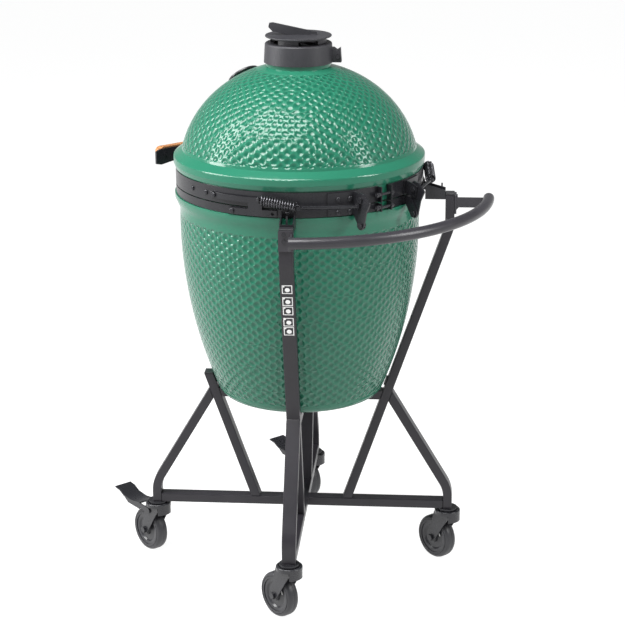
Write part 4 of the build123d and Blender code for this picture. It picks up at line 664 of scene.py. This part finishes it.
def hook(shape, place, normal):
    """An all but closed ring of wire, turned about a normal."""
    before = set(shape.verts)
    geom = wire_section(shape, HOOK_RADIUS)
    bmesh.ops.spin(shape, geom=geom, cent=(0, 0, 0), axis=(0, 0, 1), angle=HOOK_SWEEP, steps=HOOK_STEPS)
    fresh = [v for v in shape.verts if v not in before]
    bmesh.ops.transform(shape, matrix=setting(place, (0, 0, 1), normal), verts=fresh)


for side, name in ((1, "right"), (-1, "left")):
    front = spring_end(side, SPRING_FROM, FRONT_OUT, 0)
    back = spring_end(side, SPRING_TO, BACK_OUT, BACK_DROP)
    run = (back - front).normalized()
    long = (back - front).length - 2 * HOOK_RADIUS
    steps = COILS * STEPS_A_TURN
    wire = bmesh.new()
    bmesh.ops.spin(
        wire, geom=wire_section(wire, SPRING_RADIUS - WIRE_RADIUS), cent=(0, 0, 0), axis=(0, 0, 1),
        dvec=(0, 0, long / steps), angle=math.tau * COILS, steps=steps,
    )
    bmesh.ops.transform(wire, matrix=setting(front + run * HOOK_RADIUS, (0, 0, 1), run), verts=wire.verts)
    flat = run.cross(Vector((0, 0, 1))).normalized()
    for end, way in ((front, 1), (back, -1)):
        hook(wire, end + run * way * HOOK_OVERLAP, flat)
    replaced = (f"{name}_spring",)
    coil = piece(
        f"{name}_coil_spring", wire, spring_steel, "stand", replaced, COIL_SHARP_ANGLE
    )
    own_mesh(coil)
print("two springs of", COILS, "coils")

# %% [markdown]
# ## Wheels
# A caster wheel is a moulded nylon hub, dished on both faces round a long boss, inside a solid rubber tyre
# with a groove near each shoulder. Both are turned shapes, so each is one outline spun about the axle. The
# rear hubs carry a plain white arc.

# %% Hubs and tyres
HUB_OUTLINE = (
    (4.06, 15.4), (11, 15.4), (12.2, 14.6), (14.0, 9.6), (16, 8.6), (27, 8.6), (30, 11.6), (31, 12), (37, 12),
)
TYRE_OUTLINE = (
    (37.05, 14), (40.6, 14), (41.2, 12.9), (42.4, 12.9), (43, 14), (45, 13.6), (47.4, 12.2), (49.2, 9.4),
    (50, 5.6), (50, 1.9), (49.3, 1.2),
)
TYRE_STEPS = 96
ARC_INNER = 0.018
ARC_OUTER = 0.0215
ARC_FACE = 0.0089
ARC_FROM = math.radians(15)
ARC_SWEEP = math.radians(105)
ARC_STEPS = 24
PAINT = 0.0002


def both_faces(outline):
    """An outline and its mirror on the other face, as one closed loop."""
    return list(outline) + [(r, -h) for r, h in reversed(outline)]


for corner in CASTERS:
    low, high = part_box(f"{corner}_tyre")
    axle = setting((low + high) / 2, (0, 1, 0), (1, 0, 0))
    hub = bmesh.new()
    lathe(hub, both_faces(HUB_OUTLINE), axle)
    piece(f"{corner}_wheel_hub", hub, hub_nylon, f"{corner}_wheel", (f"{corner}_hub",))
    tyre = bmesh.new()
    lathe(tyre, both_faces(TYRE_OUTLINE), axle, TYRE_STEPS)
    piece(f"{corner}_wheel_tyre", tyre, tyre_rubber, f"{corner}_wheel", (f"{corner}_tyre",))
    if corner.startswith("rear"):
        arc = bmesh.new()
        for face in (1, -1):
            line = [arc.verts.new((r, 0, face * ARC_FACE)) for r in (ARC_INNER, ARC_OUTER)]
            edge = arc.edges.new(line)
            bmesh.ops.spin(
                arc, geom=line + [edge], cent=(0, 0, 0), axis=(0, 0, 1), angle=ARC_SWEEP, steps=ARC_STEPS
            )
        bmesh.ops.rotate(arc, verts=arc.verts, cent=(0, 0, 0), matrix=Matrix.Rotation(ARC_FROM, 3, "Z"))
        bmesh.ops.transform(arc, matrix=axle, verts=arc.verts)
        bmesh.ops.solidify(arc, geom=arc.faces, thickness=PAINT)
        piece(f"{corner}_hub_arc", arc, label_white, f"{corner}_wheel")

# %% [markdown]
# ## Plain marks on the near leg
# Five small white printed squares sit on the outer face of the right rear leg: one, then two, then two.
# Each is an open frame with a large dot and a small one in it, which says nothing. A frame is a grid square
# inset once, its middle removed.

# %% Leg marks
MARK_SIZE = 0.0215
MARK_HEIGHTS = (0.7398, 0.7112, 0.6885, 0.6612, 0.6390)
MARK_FRAME = 0.0018
MARK_DOTS = ((0.0052, 0.0005, -0.0012), (0.0026, -0.0078, 0.0078))
MARK_DOT_SIDES = 20
MARK_THICKNESS = 0.00015
LEG_ANGLE = math.radians(45)
LEG_LEAN = 0.3502
LEG_FOOT_HEIGHT = 0.152
LEG_FOOT_REACH = 0.1045
LEG_FACE_OUT = 0.01015
leg_out = Vector((math.cos(LEG_ANGLE), math.sin(LEG_ANGLE), 0))
leg_foot = Vector((0, axis_y, LEG_FOOT_HEIGHT)) + leg_out * LEG_FOOT_REACH
leg_up = (leg_out * LEG_LEAN + Vector((0, 0, 1))).normalized()
leg_face = (leg_out - leg_up * leg_out.dot(leg_up)).normalized()
marks = bmesh.new()
for height in MARK_HEIGHTS:
    before = set(marks.verts)
    square = bmesh.ops.create_grid(marks, x_segments=1, y_segments=1, size=MARK_SIZE / 2)
    face = square["verts"][0].link_faces[0]
    bmesh.ops.inset_region(marks, faces=[face], thickness=MARK_FRAME, use_boundary=True, use_even_offset=True)
    bmesh.ops.delete(marks, geom=[face], context="FACES_ONLY")
    for radius, shift_x, shift_y in MARK_DOTS:
        bmesh.ops.create_circle(
            marks, cap_ends=True, segments=MARK_DOT_SIDES, radius=radius,
            matrix=Matrix.Translation((shift_x, shift_y, 0)),
        )
    fresh = [v for v in marks.verts if v not in before]
    middle = leg_foot + leg_up * ((height - leg_foot.z) / leg_up.z) + leg_face * LEG_FACE_OUT
    bmesh.ops.transform(marks, matrix=setting(middle, leg_up.cross(leg_face), leg_face), verts=fresh)
bmesh.ops.solidify(marks, geom=marks.faces, thickness=MARK_THICKNESS)
piece("leg_marks", marks, label_white, "stand")

# %% [markdown]
# ## Marks on the dial
# The thermometer's dial has a ring of dark ticks, every third one longer. They are thin blocks turned about
# the dial's middle, just above its face.

# %% Dial ticks
TICKS = 31
TICK_TURN = math.radians(9)
LONG_EVERY = 3
LONG_TICK = (0.0008, 0.005)
SHORT_TICK = (0.0005, 0.003)
TICK_THICKNESS = 0.0002
TICK_RIM = 0.0285
TICK_LIFT = 0.00052
needle_axis = -Vector(joints["needle_turn"]["axis"])
dial_low, dial_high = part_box("thermometer_dial")
dial_place = (dial_low + dial_high) / 2 + needle_axis * TICK_LIFT
ticks = bmesh.new()
for turn in range(TICKS):
    wide, deep = SHORT_TICK if turn % LONG_EVERY else LONG_TICK
    block = bmesh.ops.create_cube(ticks, size=1)["verts"]
    bmesh.ops.scale(ticks, verts=block, vec=(wide, deep, TICK_THICKNESS))
    bmesh.ops.translate(ticks, verts=block, vec=(0, TICK_RIM - deep / 2, 0))
    spin_by = Matrix.Rotation(-TICK_TURN * turn, 3, "Z")
    bmesh.ops.rotate(ticks, verts=block, cent=(0, 0, 0), matrix=spin_by)
bmesh.ops.transform(ticks, matrix=setting(dial_place, (1, 0, 0), needle_axis), verts=ticks.verts)
piece("dial_ticks", ticks, dial_ink, "lid")
